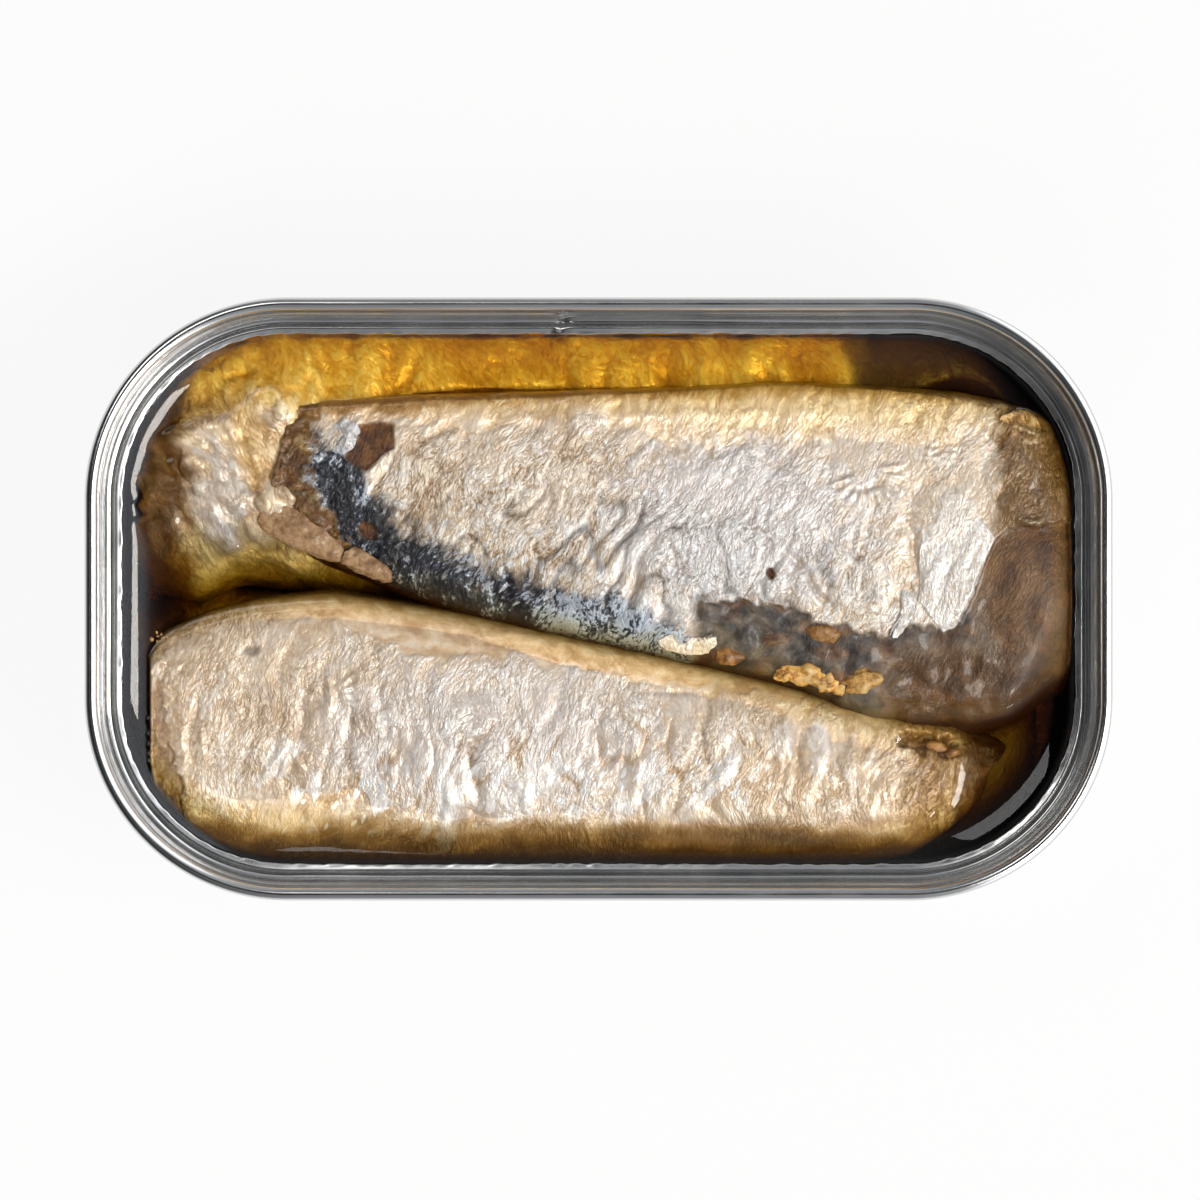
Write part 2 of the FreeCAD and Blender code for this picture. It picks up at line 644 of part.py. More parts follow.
# ---------------------------------------------------------------- building and writing
rim_path = rim_outline("rim_path", "0", "0")
can_body = make_can(rim_path)
lid_rim = make_lid(rim_path)
contents = make_contents()
oil = make_oil(can_body, contents)
nodes = [can_body, lid_rim] + contents + [oil]
doc.recompute()

for item in doc.Objects:
    if "Invalid" in item.State or "Error" in item.State:
        raise RuntimeError(f"{item.Name} failed: {item.State}")
for item in doc.Objects:
    if item.TypeId == "Sketcher::SketchObject" and not item.FullyConstrained:
        raise RuntimeError(f"{item.Name} is not fully constrained")

os.makedirs("parts", exist_ok=True)
triangles = 0
for node in nodes:
    shape = node.Shape
    if shape.isNull() or not shape.isValid():
        raise RuntimeError(f"{node.Label} has no valid shape")
    count = len(shape.tessellate(0.1)[1])
    triangles += count
    box = shape.optimalBoundingBox(True)
    print(f"{node.Label:20s} solids {len(shape.Solids)} volume {shape.Volume:9.1f} mm3",
          f"x {box.XMin:.2f}..{box.XMax:.2f} y {box.YMin:.2f}..{box.YMax:.2f}",
          f"z {box.ZMin:.2f}..{box.ZMax:.2f} triangles {count}")
    shape.exportStep(f"parts/{node.Label}.step")
print("triangles", triangles)
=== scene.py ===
# %% [markdown]
# # An opened tin of mackerel in oil
# The tin is a shallow drawn can with rounded corners. Its lid was scored all the way round and
# pulled off, which left a narrow ring that is folded over the can's edge in a double seam. Two
# mackerel halves lie on top of two others, in amber oil that stops a little below the ring.
#
# The construction is already there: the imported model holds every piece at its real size. This
# lesson dresses it. Each step says what the piece is, and why it is made in this way.

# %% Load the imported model
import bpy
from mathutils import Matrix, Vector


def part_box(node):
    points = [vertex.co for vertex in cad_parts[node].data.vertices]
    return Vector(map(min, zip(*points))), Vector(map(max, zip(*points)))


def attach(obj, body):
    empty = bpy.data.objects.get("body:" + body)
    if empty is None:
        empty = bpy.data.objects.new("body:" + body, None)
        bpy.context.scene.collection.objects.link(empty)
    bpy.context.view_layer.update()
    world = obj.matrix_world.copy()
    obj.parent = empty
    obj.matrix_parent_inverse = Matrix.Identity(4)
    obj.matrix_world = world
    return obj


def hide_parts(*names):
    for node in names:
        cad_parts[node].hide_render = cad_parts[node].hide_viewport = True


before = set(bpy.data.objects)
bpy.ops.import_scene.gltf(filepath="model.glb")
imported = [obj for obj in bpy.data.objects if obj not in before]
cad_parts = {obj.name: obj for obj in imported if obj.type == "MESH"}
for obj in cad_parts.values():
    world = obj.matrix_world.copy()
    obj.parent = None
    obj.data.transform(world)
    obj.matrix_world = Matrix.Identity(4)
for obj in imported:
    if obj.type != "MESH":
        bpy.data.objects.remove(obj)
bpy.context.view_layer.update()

print("nodes:", ", ".join(sorted(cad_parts)))

# %% [markdown]
# ## Sizes
# Blender measures in metres, and a tin is easier to think of in millimetres, so all sizes here
# are millimetres and are turned to metres where a piece is made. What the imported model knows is
# read from it. The rim's few sizes below are those of its section.

# %% Sizes in millimetres
import itertools
import math

import bpy
import numpy as np
from mathutils import Vector
from mathutils.bvhtree import BVHTree

MM = 0.001

HALF_LENGTH, HALF_WIDTH, RIM_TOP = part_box("lid_rim")[1] / MM     # its upper corner
RIM_CORNER = 20.7        # radius of the rim's corners
WALL_INSET = 1.04        # outer face of the rim to the inside of the can
TORN_INSET = 3.57        # outer face of the rim to the torn edge
LEDGE_TOP = 25.0         # height of the ledge that ends in the torn edge
OIL_TOP = 22.8           # level of the oil away from what it clings to
FLOOR_TOP = 0.22         # inside of the can's base, which is one sheet thick
print(f"rim {2 * HALF_LENGTH:.1f} x {2 * HALF_WIDTH:.1f} mm, {RIM_TOP:.1f} mm above the table")

# %% [markdown]
# ## Small tools
# Blender's operators act on whatever is selected, and a fresh import leaves its pieces selected.
# So each step starts with `pick`, which selects one piece and nothing else. Modifiers are
# applied at once by `shape`. The other helpers read and write a mesh's points as rows of numbers.

# %% Helpers for meshes
def pick(piece):
    """Makes a piece the only one that operators act on."""
    bpy.ops.object.select_all(action="DESELECT")
    piece.select_set(True)
    bpy.context.view_layer.objects.active = piece


def open_all(piece):
    """Opens a piece in edit mode with all of it selected."""
    pick(piece)
    bpy.ops.object.mode_set(mode="EDIT")
    bpy.ops.mesh.select_all(action="SELECT")


def grid(name, cells):
    """A flat grid from -1 to 1 millimetre, to be bent into a rounded outline."""
    bpy.ops.object.select_all(action="DESELECT")
    bpy.ops.mesh.primitive_grid_add(x_subdivisions=cells, y_subdivisions=cells, size=2 * MM)
    piece = bpy.context.active_object
    piece.name = piece.data.name = name
    return piece


def shape(piece, kind, **settings):
    """Adds a modifier and applies it."""
    pick(piece)
    modifier = piece.modifiers.new(kind.lower(), kind)
    for name, value in settings.items():
        setattr(modifier, name, value)
    bpy.ops.object.modifier_apply(modifier=modifier.name)


def spots_of(piece):
    """The mesh's points in millimetres, one row each."""
    flat = np.empty(3 * len(piece.data.vertices))
    piece.data.vertices.foreach_get("co", flat)
    return flat.reshape(-1, 3) / MM


def facing_of(piece):
    """The direction that the surface faces at each point."""
    flat = np.empty(3 * len(piece.data.vertices))
    piece.data.vertices.foreach_get("normal", flat)
    return flat.reshape(-1, 3)


def set_spots(piece, spots):
    """Moves the mesh's points to the given rows."""
    piece.data.vertices.foreach_set("co", (spots * MM).ravel())
    piece.data.update()


def note(piece, **fields):
    """Stores one number, or one row of three, at each point, for a material to read."""
    for name, values in fields.items():
        rows = values.ndim == 2
        field = piece.data.attributes.new(name, "FLOAT_VECTOR" if rows else "FLOAT", "POINT")
        field.data.foreach_set("vector" if rows else "value", values.astype(np.float32).ravel())


def new_object(name, data):
    """A new object in the scene, of a mesh, a lamp or a camera."""
    thing = bpy.data.objects.new(name, data)
    bpy.context.scene.collection.objects.link(thing)
    return thing


def merged_copy(node, name):
    """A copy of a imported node's mesh whose loose triangles are joined."""
    piece = new_object(name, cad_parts[node].data.copy())
    piece.data.materials.clear()
    open_all(piece)
    bpy.ops.mesh.remove_doubles(threshold=0.001 * MM)
    bpy.ops.mesh.customdata_custom_splitnormals_clear()
    bpy.ops.object.mode_set(mode="OBJECT")
    return piece


def hand_in(piece, finish, slot, *nodes):
    """Gives a finished piece its material, its place on the tin and the nodes it stands for."""
    piece.data.materials.clear()
    piece.data.materials.append(finish)
    pick(piece)
    bpy.ops.object.shade_smooth()
    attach(piece, "root")
    if nodes:
        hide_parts(*nodes)
    print(f"{piece.name}: {len(piece.data.polygons)} faces")


for node, piece in sorted(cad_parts.items()):
    print(f"{node}: {np.ptp(spots_of(piece)[:, 0]):.1f} mm long")

# %% [markdown]
# ## Natural unevenness
# Cooked fish skin is crumpled, and no two puckers are alike. `noise` gives smooth hills and dips,
# one for each unit cell, from slopes at the corners of the cells that were drawn once from a
# fixed seed. Dividing the places by a size in millimetres sets how large the hills are, and
# different sizes along and across give long wrinkles. The masks below turn such heights, or the
# distance to a place on the fish, into a share from 0 to 1.

# %% Noise
CELLS = 256
chance = np.random.default_rng(11)
ORDER = chance.permutation(CELLS)
SLOPES = chance.normal(size=(CELLS, 3))
SLOPES /= np.linalg.norm(SLOPES, axis=1, keepdims=True)


def noise(spots, seed=0):
    """Smooth random heights, mostly between -1 and 1."""
    spots = spots + 31.7 * seed
    cell = np.floor(spots).astype(int)
    part = spots - cell
    ease = part ** 3 * (part * (6 * part - 15) + 10)
    total = np.zeros(len(spots))
    for corner in itertools.product((0, 1), repeat=3):
        x, y, z = ((cell + corner) % CELLS).T
        slope = SLOPES[ORDER[(ORDER[(ORDER[x] + y) % CELLS] + z) % CELLS]]
        weight = np.prod(np.where(corner, ease, 1 - ease), axis=1)
        total += weight * np.sum(slope * (part - corner), axis=1)
    return 1.7 * total


def rough(spots, octaves=3, seed=0):
    """Noise with finer noise on it."""
    return sum(noise(spots * 2 ** octave, seed + octave) / 2 ** octave for octave in range(octaves))


heights = noise(np.linspace((0, 0, 0), (90, 40, 10), 1000))
print(f"noise along a line: {heights.min():.2f} to {heights.max():.2f}")


# %% Soft masks
def soft(values):
    """Turns a slope through 0 to 1 into a soft step."""
    values = np.clip(values, 0, 1)
    return values * values * (3 - 2 * values)


def most(*fields):
    """The largest of several fields at each point."""
    return np.maximum.reduce(fields)


def curve(x, *points):
    """Height over x of a line through the given points."""
    xs, ys = zip(*points)
    return np.interp(x, xs, ys)


def blot(spots, centre, size, turn=0, edge=0.3, ragged=0.25, seed=0):
    """1 inside an oval seen from above, 0 outside, with a ragged edge."""
    away = spots[:, :2] - centre
    turn = math.radians(turn)
    long = away @ (math.cos(turn), math.sin(turn))
    wide = away @ (-math.sin(turn), math.cos(turn))
    reach = np.hypot(long / size[0], wide / size[1]) + ragged * rough(spots / 1.6, 3, seed)
    return soft((1 - reach) / edge + 0.5)


print("soft steps:", soft(np.linspace(0, 1, 5)).round(2))


# %% Outlines and folds
def reach_of(spots, outline):
    """How far out each spot lies from the middle of an outline seen from above: 1 on it."""
    middle = np.mean(outline, axis=0)
    sides = zip(outline, np.roll(outline, -1, axis=0))
    outline = np.concatenate([np.linspace(start, end, 12, endpoint=False) for start, end in sides])
    angles = np.arctan2(*(outline - middle).T[::-1])
    radii = np.hypot(*(outline - middle).T)
    order = np.argsort(angles)
    away = spots[:, :2] - middle
    edge = np.interp(np.arctan2(away[:, 1], away[:, 0]), angles[order], radii[order],
                     period=2 * math.pi)
    return np.hypot(*away.T) / edge


def fold(spots, start, end, width, height):
    """A raised fold between two places seen from above, which fades out at both ends."""
    run = np.subtract(end, start)
    length = np.hypot(*run)
    away = spots[:, :2] - start
    share = np.clip(away @ run / length ** 2, 0, 1)
    side = away @ (-run[1], run[0]) / length
    return height * 16 * (share * (1 - share)) ** 2 * np.exp(-(side / width) ** 2)


def turned(spots, degrees):
    """How far spots lie along a direction seen from above, and how far across it."""
    turn = math.radians(degrees)
    return (spots[:, 0] * math.cos(turn) + spots[:, 1] * math.sin(turn),
            spots[:, 1] * math.cos(turn) - spots[:, 0] * math.sin(turn))


middles = np.array(((0, 0, 0), (5, 0, 0), (10, 0, 0)))
print("a fold 1 mm high:", fold(middles, (0, 0), (10, 0), 1, 1).round(2))

# %% [markdown]
# ## Colours and nodes
# Colours are written as hex codes, as on any colour picker, and one function turns them to the
# linear numbers that Blender's shaders take. One more adds a node with its settings and links,
# so that a material below reads as a list of its layers.

# %% Helpers for materials
def colour(code):
    """Linear colour of a hex code such as #C8A070."""
    parts = [int(code[place:place + 2], 16) / 255 for place in (1, 3, 5)]
    return [part / 12.92 if part <= 0.04045 else ((part + 0.055) / 1.055) ** 2.4
            for part in parts] + [1.0]


def add(tree, kind, *values, stops=(), **settings):
    """Adds a node. kind is its type and, for a sum, its operation. The values go to its inputs
    in order, and the settings to the property or input of that name. Each is a number, a
    colour, a socket or a node, of which the first output is meant. _6 names input 6, and stops
    are the places and hex codes of a colour ramp."""
    kind, *operation = kind.split()
    node = tree.nodes.new("ShaderNode" + kind)
    for name in operation:
        node.operation = name
    for place, (position, code) in enumerate(stops):
        if place > 1:
            node.color_ramp.elements.new(1.0)
        node.color_ramp.elements[place].position = position
        node.color_ramp.elements[place].color = colour(code)
    inputs = dict(enumerate(values))
    for name, value in settings.items():
        if hasattr(node, name):
            setattr(node, name, value)
        else:
            inputs[int(name[1:]) if name[1:].isdigit() else name.replace("_", " ")] = value
    for name, value in inputs.items():
        if isinstance(value, bpy.types.Node):
            value = value.outputs[0]
        if isinstance(value, bpy.types.NodeSocket):
            tree.links.new(value, node.inputs[name])
        else:
            node.inputs[name].default_value = value
    return node


def new_material(name):
    """A material with an empty node tree."""
    material = bpy.data.materials.new(name)
    material.use_nodes = True
    material.node_tree.nodes.clear()
    return material, material.node_tree


print("middle grey:", [round(part, 3) for part in colour("#808080")])


# %% [markdown]
# ## Camera
# The tin is seen from straight above, from about three quarters of a metre, through a long lens,
# so the walls hide behind the rim. The width of the picture is 122 mm at the height of the rim.

# %% Camera
VIEW_WIDTH = 122.45
CAMERA_RISE = 750.0
SENSOR_WIDTH = 36.0

lens = bpy.data.cameras.new("camera")
lens.sensor_width = SENSOR_WIDTH
lens.lens = SENSOR_WIDTH * CAMERA_RISE / VIEW_WIDTH
lens.clip_start = 0.01
lens.clip_end = 20.0
camera = new_object("camera", lens)
camera.location = Vector((0.15, -0.1, RIM_TOP + CAMERA_RISE)) * MM
bpy.context.scene.camera = camera
print(f"lens {lens.lens:.0f} mm")

# %% [markdown]
# ## Table
# The table is a plain white sheet. The camera, also through the oil, sees it nearly white, while
# the light that falls on it still leaves the tin's soft shadow, and metal mirrors it a little
# darker.

# %% Table
bpy.ops.mesh.primitive_plane_add(size=6.0, location=(0, 0, 0))
table = bpy.context.active_object
table.name = "table"
paper, tree = new_material("white_paper")
path = add(tree, "LightPath").outputs
mirrored = add(tree, "Math MULTIPLY", path["Is Glossy Ray"], 0.65)
seen = add(tree, "Math MAXIMUM", path["Is Camera Ray"], mirrored)
seen = add(tree, "Math MAXIMUM", seen, path["Is Transmission Ray"])
share = add(tree, "Math MULTIPLY", seen, 0.9)
matte = add(tree, "BsdfDiffuse", Color=colour("#F2F2F2"))
white = add(tree, "Emission", Color=(1, 1, 1, 1), Strength=1.0)
add(tree, "OutputMaterial", add(tree, "MixShader", share, matte, white))
table.data.materials.append(paper)

# %% [markdown]
# ## Light
# The light is a studio's: a large soft lamp high on the right, a weak one behind and a wide one in
# front that nothing mirrors. Round them is a dim room. Metal and wet skin need something bright
# and something dark to mirror, so in mirrors the room is nearly black on the left, has a bright
# wall on the right, and has an unlit ceiling straight above, which keeps flat oil dark. The band
# of light low down all round gives the rim its thin bright outer line.

# %% Lamps
def softbox(name, spot, width, height, power, tint="#FFFFFF"):
    """A lamp in a flat box, sizes in metres, that faces the tin."""
    lamp = bpy.data.lights.new(name, "AREA")
    lamp.shape = "RECTANGLE"
    lamp.size = width
    lamp.size_y = height
    lamp.energy = power
    lamp.color = colour(tint)[:3]
    holder = new_object(name, lamp)
    holder.location = spot
    holder.visible_camera = False
    holder.rotation_euler = Vector(spot).to_track_quat("Z", "Y").to_euler()
    return holder


softbox("key_lamp", (0.40, -0.18, 0.72), 0.42, 0.22, 3.9, "#FFFAF2")
softbox("back_lamp", (-0.21, 0.26, 0.67), 0.32, 0.20, 0.5)
fill = softbox("front_lamp", (-0.12, -0.46, 0.66), 0.40, 0.40, 1.95)
fill.visible_glossy = False

# %% Room
ROOM_LIGHT = 0.29        # strength of the room's even light
BRIGHTNESS = 2.8         # strength of its bright wall in mirrors

room = bpy.data.worlds.new("studio")
bpy.context.scene.world = room
room.use_nodes = True
tree = room.node_tree
tree.nodes.clear()
path = add(tree, "LightPath").outputs
way = add(tree, "SeparateXYZ", add(tree, "TexCoord").outputs["Generated"]).outputs
sideways = add(tree, "Math MULTIPLY_ADD", way["X"], 0.5, 0.5)
walls = add(tree, "ValToRGB", sideways, stops=(
    (0.0, "#040404"), (0.28, "#181818"), (0.50, "#6E6E6E"), (0.65, "#8A8A8A"), (0.72, "#FFFFFF"),
    (1.0, "#FFFFFF")))
slant = add(tree, "Math MULTIPLY", add(tree, "Math SUBTRACT", 1.0, way["Z"]), 14.0)
unlit = add(tree, "Math MULTIPLY", add(tree, "Math MINIMUM", slant, 1.0), BRIGHTNESS)
mirrored = add(tree, "Math MULTIPLY", walls, unlit)
level_way = add(tree, "Math SUBTRACT", 1.0, add(tree, "Math ABSOLUTE", way["Z"]))
mirrored = add(tree, "Math MULTIPLY_ADD", add(tree, "Math POWER", level_way, 3.0), 0.6, mirrored)
extra = add(tree, "Math SUBTRACT", mirrored, ROOM_LIGHT)
level = add(tree, "Math MULTIPLY_ADD", path["Is Glossy Ray"], extra, ROOM_LIGHT)
dim = add(tree, "Background", Color=colour("#C3C7CD"), Strength=level)
white = add(tree, "Background", Color=(1, 1, 1, 1), Strength=1.0)
add(tree, "OutputWorld", add(tree, "MixShader", path["Is Camera Ray"], dim, white))
bpy.context.scene.view_settings.view_transform = "Standard"
print("room:", len(tree.nodes), "nodes")

# %% [markdown]
# ## Rolled aluminium
# Lid and can are pressed from rolled aluminium sheet. Rolling leaves fine straight lines on the
# lid, drawing leaves upright ones on the can, and the seaming rolls leave lines that run round
# the rim. They only show in how sharply the metal mirrors, so they drive the roughness and a very
# low bump, and the colour stays even. Real lines are a few hundredths of a millimetre apart; these
# are ten times coarser, or they would not show.

# %% Aluminium for the lid and the can
LINES = {"Scale": 1.0, "Detail": 1.0}


def aluminium(name, tone, roughness, fineness, grain, lines):
    """Bare metal. fineness says how close the straight lines lie along x, y and z; grain is their
    share, and lines is the share of the lines that run round the rim."""
    material, tree = new_material(name)
    place = add(tree, "TexCoord").outputs["Object"]
    inset = add(tree, "Attribute", attribute_name="inset").outputs["Fac"]
    around = add(tree, "CombineXYZ", add(tree, "Math MULTIPLY", inset, 3.0))
    around = add(tree, "VectorMath MULTIPLY_ADD", place, (30, 30, 3000), around)
    round_lines = add(tree, "TexNoise", around, **LINES)
    rolling = add(tree, "TexNoise", add(tree, "VectorMath MULTIPLY", place, fineness), **LINES)
    clouds = add(tree, "TexNoise", place, Scale=260.0, Detail=4.0)
    marks = add(tree, "Math MULTIPLY", rolling, grain)
    marks = add(tree, "Math MULTIPLY_ADD", round_lines, lines, marks)
    dull = add(tree, "Math MULTIPLY_ADD", clouds, 0.16, roughness - 0.08)
    dull = add(tree, "Math MULTIPLY_ADD", marks, 0.10, dull)
    relief = add(tree, "Bump", Strength=0.4, Distance=0.00004, Height=marks)
    metal = add(tree, "BsdfPrincipled", Metallic=1.0, Base_Color=colour(tone), Roughness=dull,
                Normal=relief)
    add(tree, "OutputMaterial", metal)
    return material


lid_metal = aluminium("rolled_aluminium_lid", "#DEDDDB", 0.12, (500, 2400, 2400), 0.35, 0.8)
can_metal = aluminium("drawn_aluminium_can", "#C6C8CA", 0.22, (900, 900, 35), 1.6, 0.0)
print("metals:", lid_metal.name, "and", can_metal.name)

# %% [markdown]
# ## The ring that is left of the lid
# The sheet runs from the torn edge over a flat ledge, down into a groove, up the sloping chuck
# wall, over the round crest and down the outside, where it turns under and hooks into the can.
# A sheet like this is one line carried round a path. So the section is drawn once as a chain of
# points, extruded along each straight side and spun round each corner. The ends are merged,
# the faces are turned the same way, and only then does Solidify give the sheet its thickness.

# %% Section of the ring
def arc(centre, radius, start, end, steps):
    """Points of an arc in the section; angles in degrees from the inward direction."""
    turns = np.radians(np.linspace(start, end, steps + 1))
    return [(centre[0] + radius * math.cos(turn), centre[1] + radius * math.sin(turn))
            for turn in turns]


LEAN = 27.0              # degrees that the chuck wall leans off upright
SEAM_WIDTH = 1.32
SEAM_HEIGHT = 3.0
LID_SHEET = 0.24
HOOK_INSET = 0.78
BEND = 0.35              # radius of the bends at the groove and at the ledge
GROOVE = (2.45, 24.65)   # inset and height of the bottom of the groove

crest = (SEAM_WIDTH / 2, RIM_TOP - SEAM_WIDTH / 2)
foot = (HOOK_INSET / 2, RIM_TOP - SEAM_HEIGHT + HOOK_INSET / 2)
shoulder = (GROOVE[0] + 2 * BEND * math.sin(math.radians(60)), LEDGE_TOP - BEND)
section = [(TORN_INSET - step * (TORN_INSET - shoulder[0]) / 5, LEDGE_TOP) for step in range(5)]
section += arc(shoulder, BEND, 90, 150, 4)
section += arc((GROOVE[0], GROOVE[1] + BEND), BEND, -30, -180 + LEAN, 7)[1:]
wall_foot = section[-1]
wall_run = wall_foot[0] - SEAM_WIDTH
wall_rise = wall_run / math.tan(math.radians(LEAN))
section += [(wall_foot[0] - share * wall_run, wall_foot[1] + share * wall_rise)
            for share in (0.25, 0.5, 0.75, 1.0)]
section += arc(crest, SEAM_WIDTH / 2, 0, 180, 14)
section += arc(foot, HOOK_INSET / 2, -180, 0, 8)
section += [(HOOK_INSET, foot[1] + 1.4)]
print("section of the ring:", len(section), "points")

# %% [markdown]
# An operator that extrudes or spins acts on what is selected and leaves its far end selected. So
# the chain is carried round the rim by calling one after the other, a straight side and a corner
# at a time, from the middle of the left side round to the same place.

# %% Carry the section round the rim
def start_chain(name, points):
    """A new piece that is one chain of edges through the points, given in millimetres."""
    bpy.ops.object.select_all(action="DESELECT")
    bpy.ops.mesh.primitive_plane_add(size=MM, location=(0, 0, 0))
    piece = bpy.context.active_object
    piece.name = piece.data.name = name
    open_all(piece)
    bpy.ops.mesh.merge(type="CENTER")
    bpy.ops.transform.translate(value=Vector(points[0]) * MM)
    for here, there in zip(points, points[1:]):
        bpy.ops.mesh.extrude_region_move(
            TRANSFORM_OT_translate={"value": Vector(np.subtract(there, here)) * MM})
    bpy.ops.mesh.select_all(action="SELECT")
    return piece


def run(direction, length, steps):
    """Extrudes the selected chain along a straight side."""
    for _ in range(steps):
        bpy.ops.mesh.extrude_region_move(
            TRANSFORM_OT_translate={"value": Vector(direction) * length / steps * MM})


def carry_round(steps_per_mm):
    """Carries the selected chain, which starts on the left, once round the rim, clockwise."""
    long, wide = HALF_LENGTH - RIM_CORNER, HALF_WIDTH - RIM_CORNER
    corner_steps = round(math.pi / 2 * RIM_CORNER * steps_per_mm)
    sides = [((0, 1, 0), wide, (-long, wide)), ((1, 0, 0), 2 * long, (long, wide)),
             ((0, -1, 0), 2 * wide, (long, -wide)), ((-1, 0, 0), 2 * long, (-long, -wide))]
    for direction, length, centre in sides:
        run(direction, length, round(length * steps_per_mm))
        bpy.ops.mesh.spin(steps=corner_steps, angle=math.pi / 2, axis=(0, 0, 1),
                          center=(centre[0] * MM, centre[1] * MM, 0))
    run((0, 1, 0), wide, round(wide * steps_per_mm))
    bpy.ops.mesh.select_all(action="SELECT")
    bpy.ops.mesh.remove_doubles(threshold=0.002 * MM)
    bpy.ops.mesh.normals_make_consistent(inside=False)
    bpy.ops.object.mode_set(mode="OBJECT")


ring = start_chain("lid_ring", [(-HALF_LENGTH + inset, 0, level) for inset, level in section])
carry_round(2.5)
print("ring:", len(ring.data.vertices), "points")

# %% [markdown]
# The pull left marks: the torn edge is ragged, the ledge waves a little, and at the back there is
# a dent where the tab's nose broke through the score, with the ledge pressed flat to one side.
# All of this is a small move of the points that depends on how far in from the rim they are.

# %% Marks of the pull
CORNER_SPREAD = (HALF_LENGTH - RIM_CORNER, HALF_WIDTH - RIM_CORNER)
TAB = (-3.5, 28.6)       # where the tab's nose broke through, seen from above


def outward(spots):
    """The way, seen from above, from the nearest place between the corners' centres."""
    return spots[:, :2] - np.clip(spots[:, :2], np.negative(CORNER_SPREAD), CORNER_SPREAD)


def inset_of(spots):
    """How far in from the rim's outer face each spot lies."""
    return RIM_CORNER - np.hypot(*outward(spots).T)


def inward(spots):
    """Unit directions, seen from above, from the rim's outer face to the middle."""
    return -outward(spots) / np.linalg.norm(outward(spots), axis=1, keepdims=True)


shape(ring, "SOLIDIFY", thickness=LID_SHEET * MM, offset=-1.0)
spots = spots_of(ring)
inset = inset_of(spots)
flat = spots * (1, 1, 0)
at_edge = soft((inset - 3.2) / 0.35)
on_ledge = soft((inset - 1.9) / 0.6) * (spots[:, 2] < 26.2)
ragged = 0.10 * rough(flat / 1.1, 3, 1) + 0.10 * noise(flat / 7, 5)
spots[:, :2] += inward(spots) * (at_edge * ragged)[:, None]
spots[:, 2] += on_ledge * 0.06 * noise(flat / 9, 2) + at_edge * 0.08 * ragged
spots[:, 2] -= 0.26 * np.clip((inset - 2.5) / 1.1, 0, 1.1)
dent = np.exp(-((spots[:, 0] - TAB[0]) / 0.55) ** 2 - ((spots[:, 1] - TAB[1]) / 0.8) ** 2)
slant = spots[:, 0] - TAB[0] + 0.9 * (TAB[1] - spots[:, 1])
pressed = soft(slant / 0.6) * soft((26 - spots[:, 0]) / 22) * (spots[:, 1] > 26)
spots[:, 2] += on_ledge * (0.26 * pressed - 0.12 * dent)
set_spots(ring, spots)
note(ring, inset=inset)
hand_in(ring, lid_metal, "lid_aluminium", "lid_rim")

# %% [markdown]
# ## The can
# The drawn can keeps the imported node: its shape is right, down to the standing ring and the bead
# in its base. It only gets its metal.

# %% The can's finish
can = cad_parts["can_body"]
can.data.materials.clear()
can.data.materials.append(can_metal)
print("can:", can.data.materials[0].name)

# %% [markdown]
# ## Skin, flesh and what tints them
# A mackerel's skin is a thin film with mirror-like crystals in it, mother-of-pearl on the belly
# and blue-black on the back. Cooked, it shrinks into fine puckers whose crests catch the light.
# One material serves all four fish. Its pattern follows `grain`, the place on the fish measured
# along and across its puckers in millimetres. The sculpting stores a few fields at each point,
# which say where the back is dark, where flesh is bare, and so on, and each field lays its own
# colour over the ones before it. Some of that colour is painted light: creases are painted darker
# and crests lighter, small cells are painted as near-white glints, a few blots are painted white
# as highlights, and sunk or shaded skin is painted dark brown as shade. Over it all lies a film
# of oil, which is the shader's coat.

# %% Fish skin
FIELDS = ("crest", "calm", "glint", "cool", "tan", "gold", "white", "back", "flesh", "grey", "bare",
          "deep")
# The tones run from painted shade in the creases to painted highlight on the crests.
PALE = (0.14, 0.34, 0.54, 0.84)      # where a tone passes from the creases to the crests
RICH = (0.16, 0.38, 0.58, 0.86)
MIDDLE = 0.55                        # tone half way, which calm skin keeps to


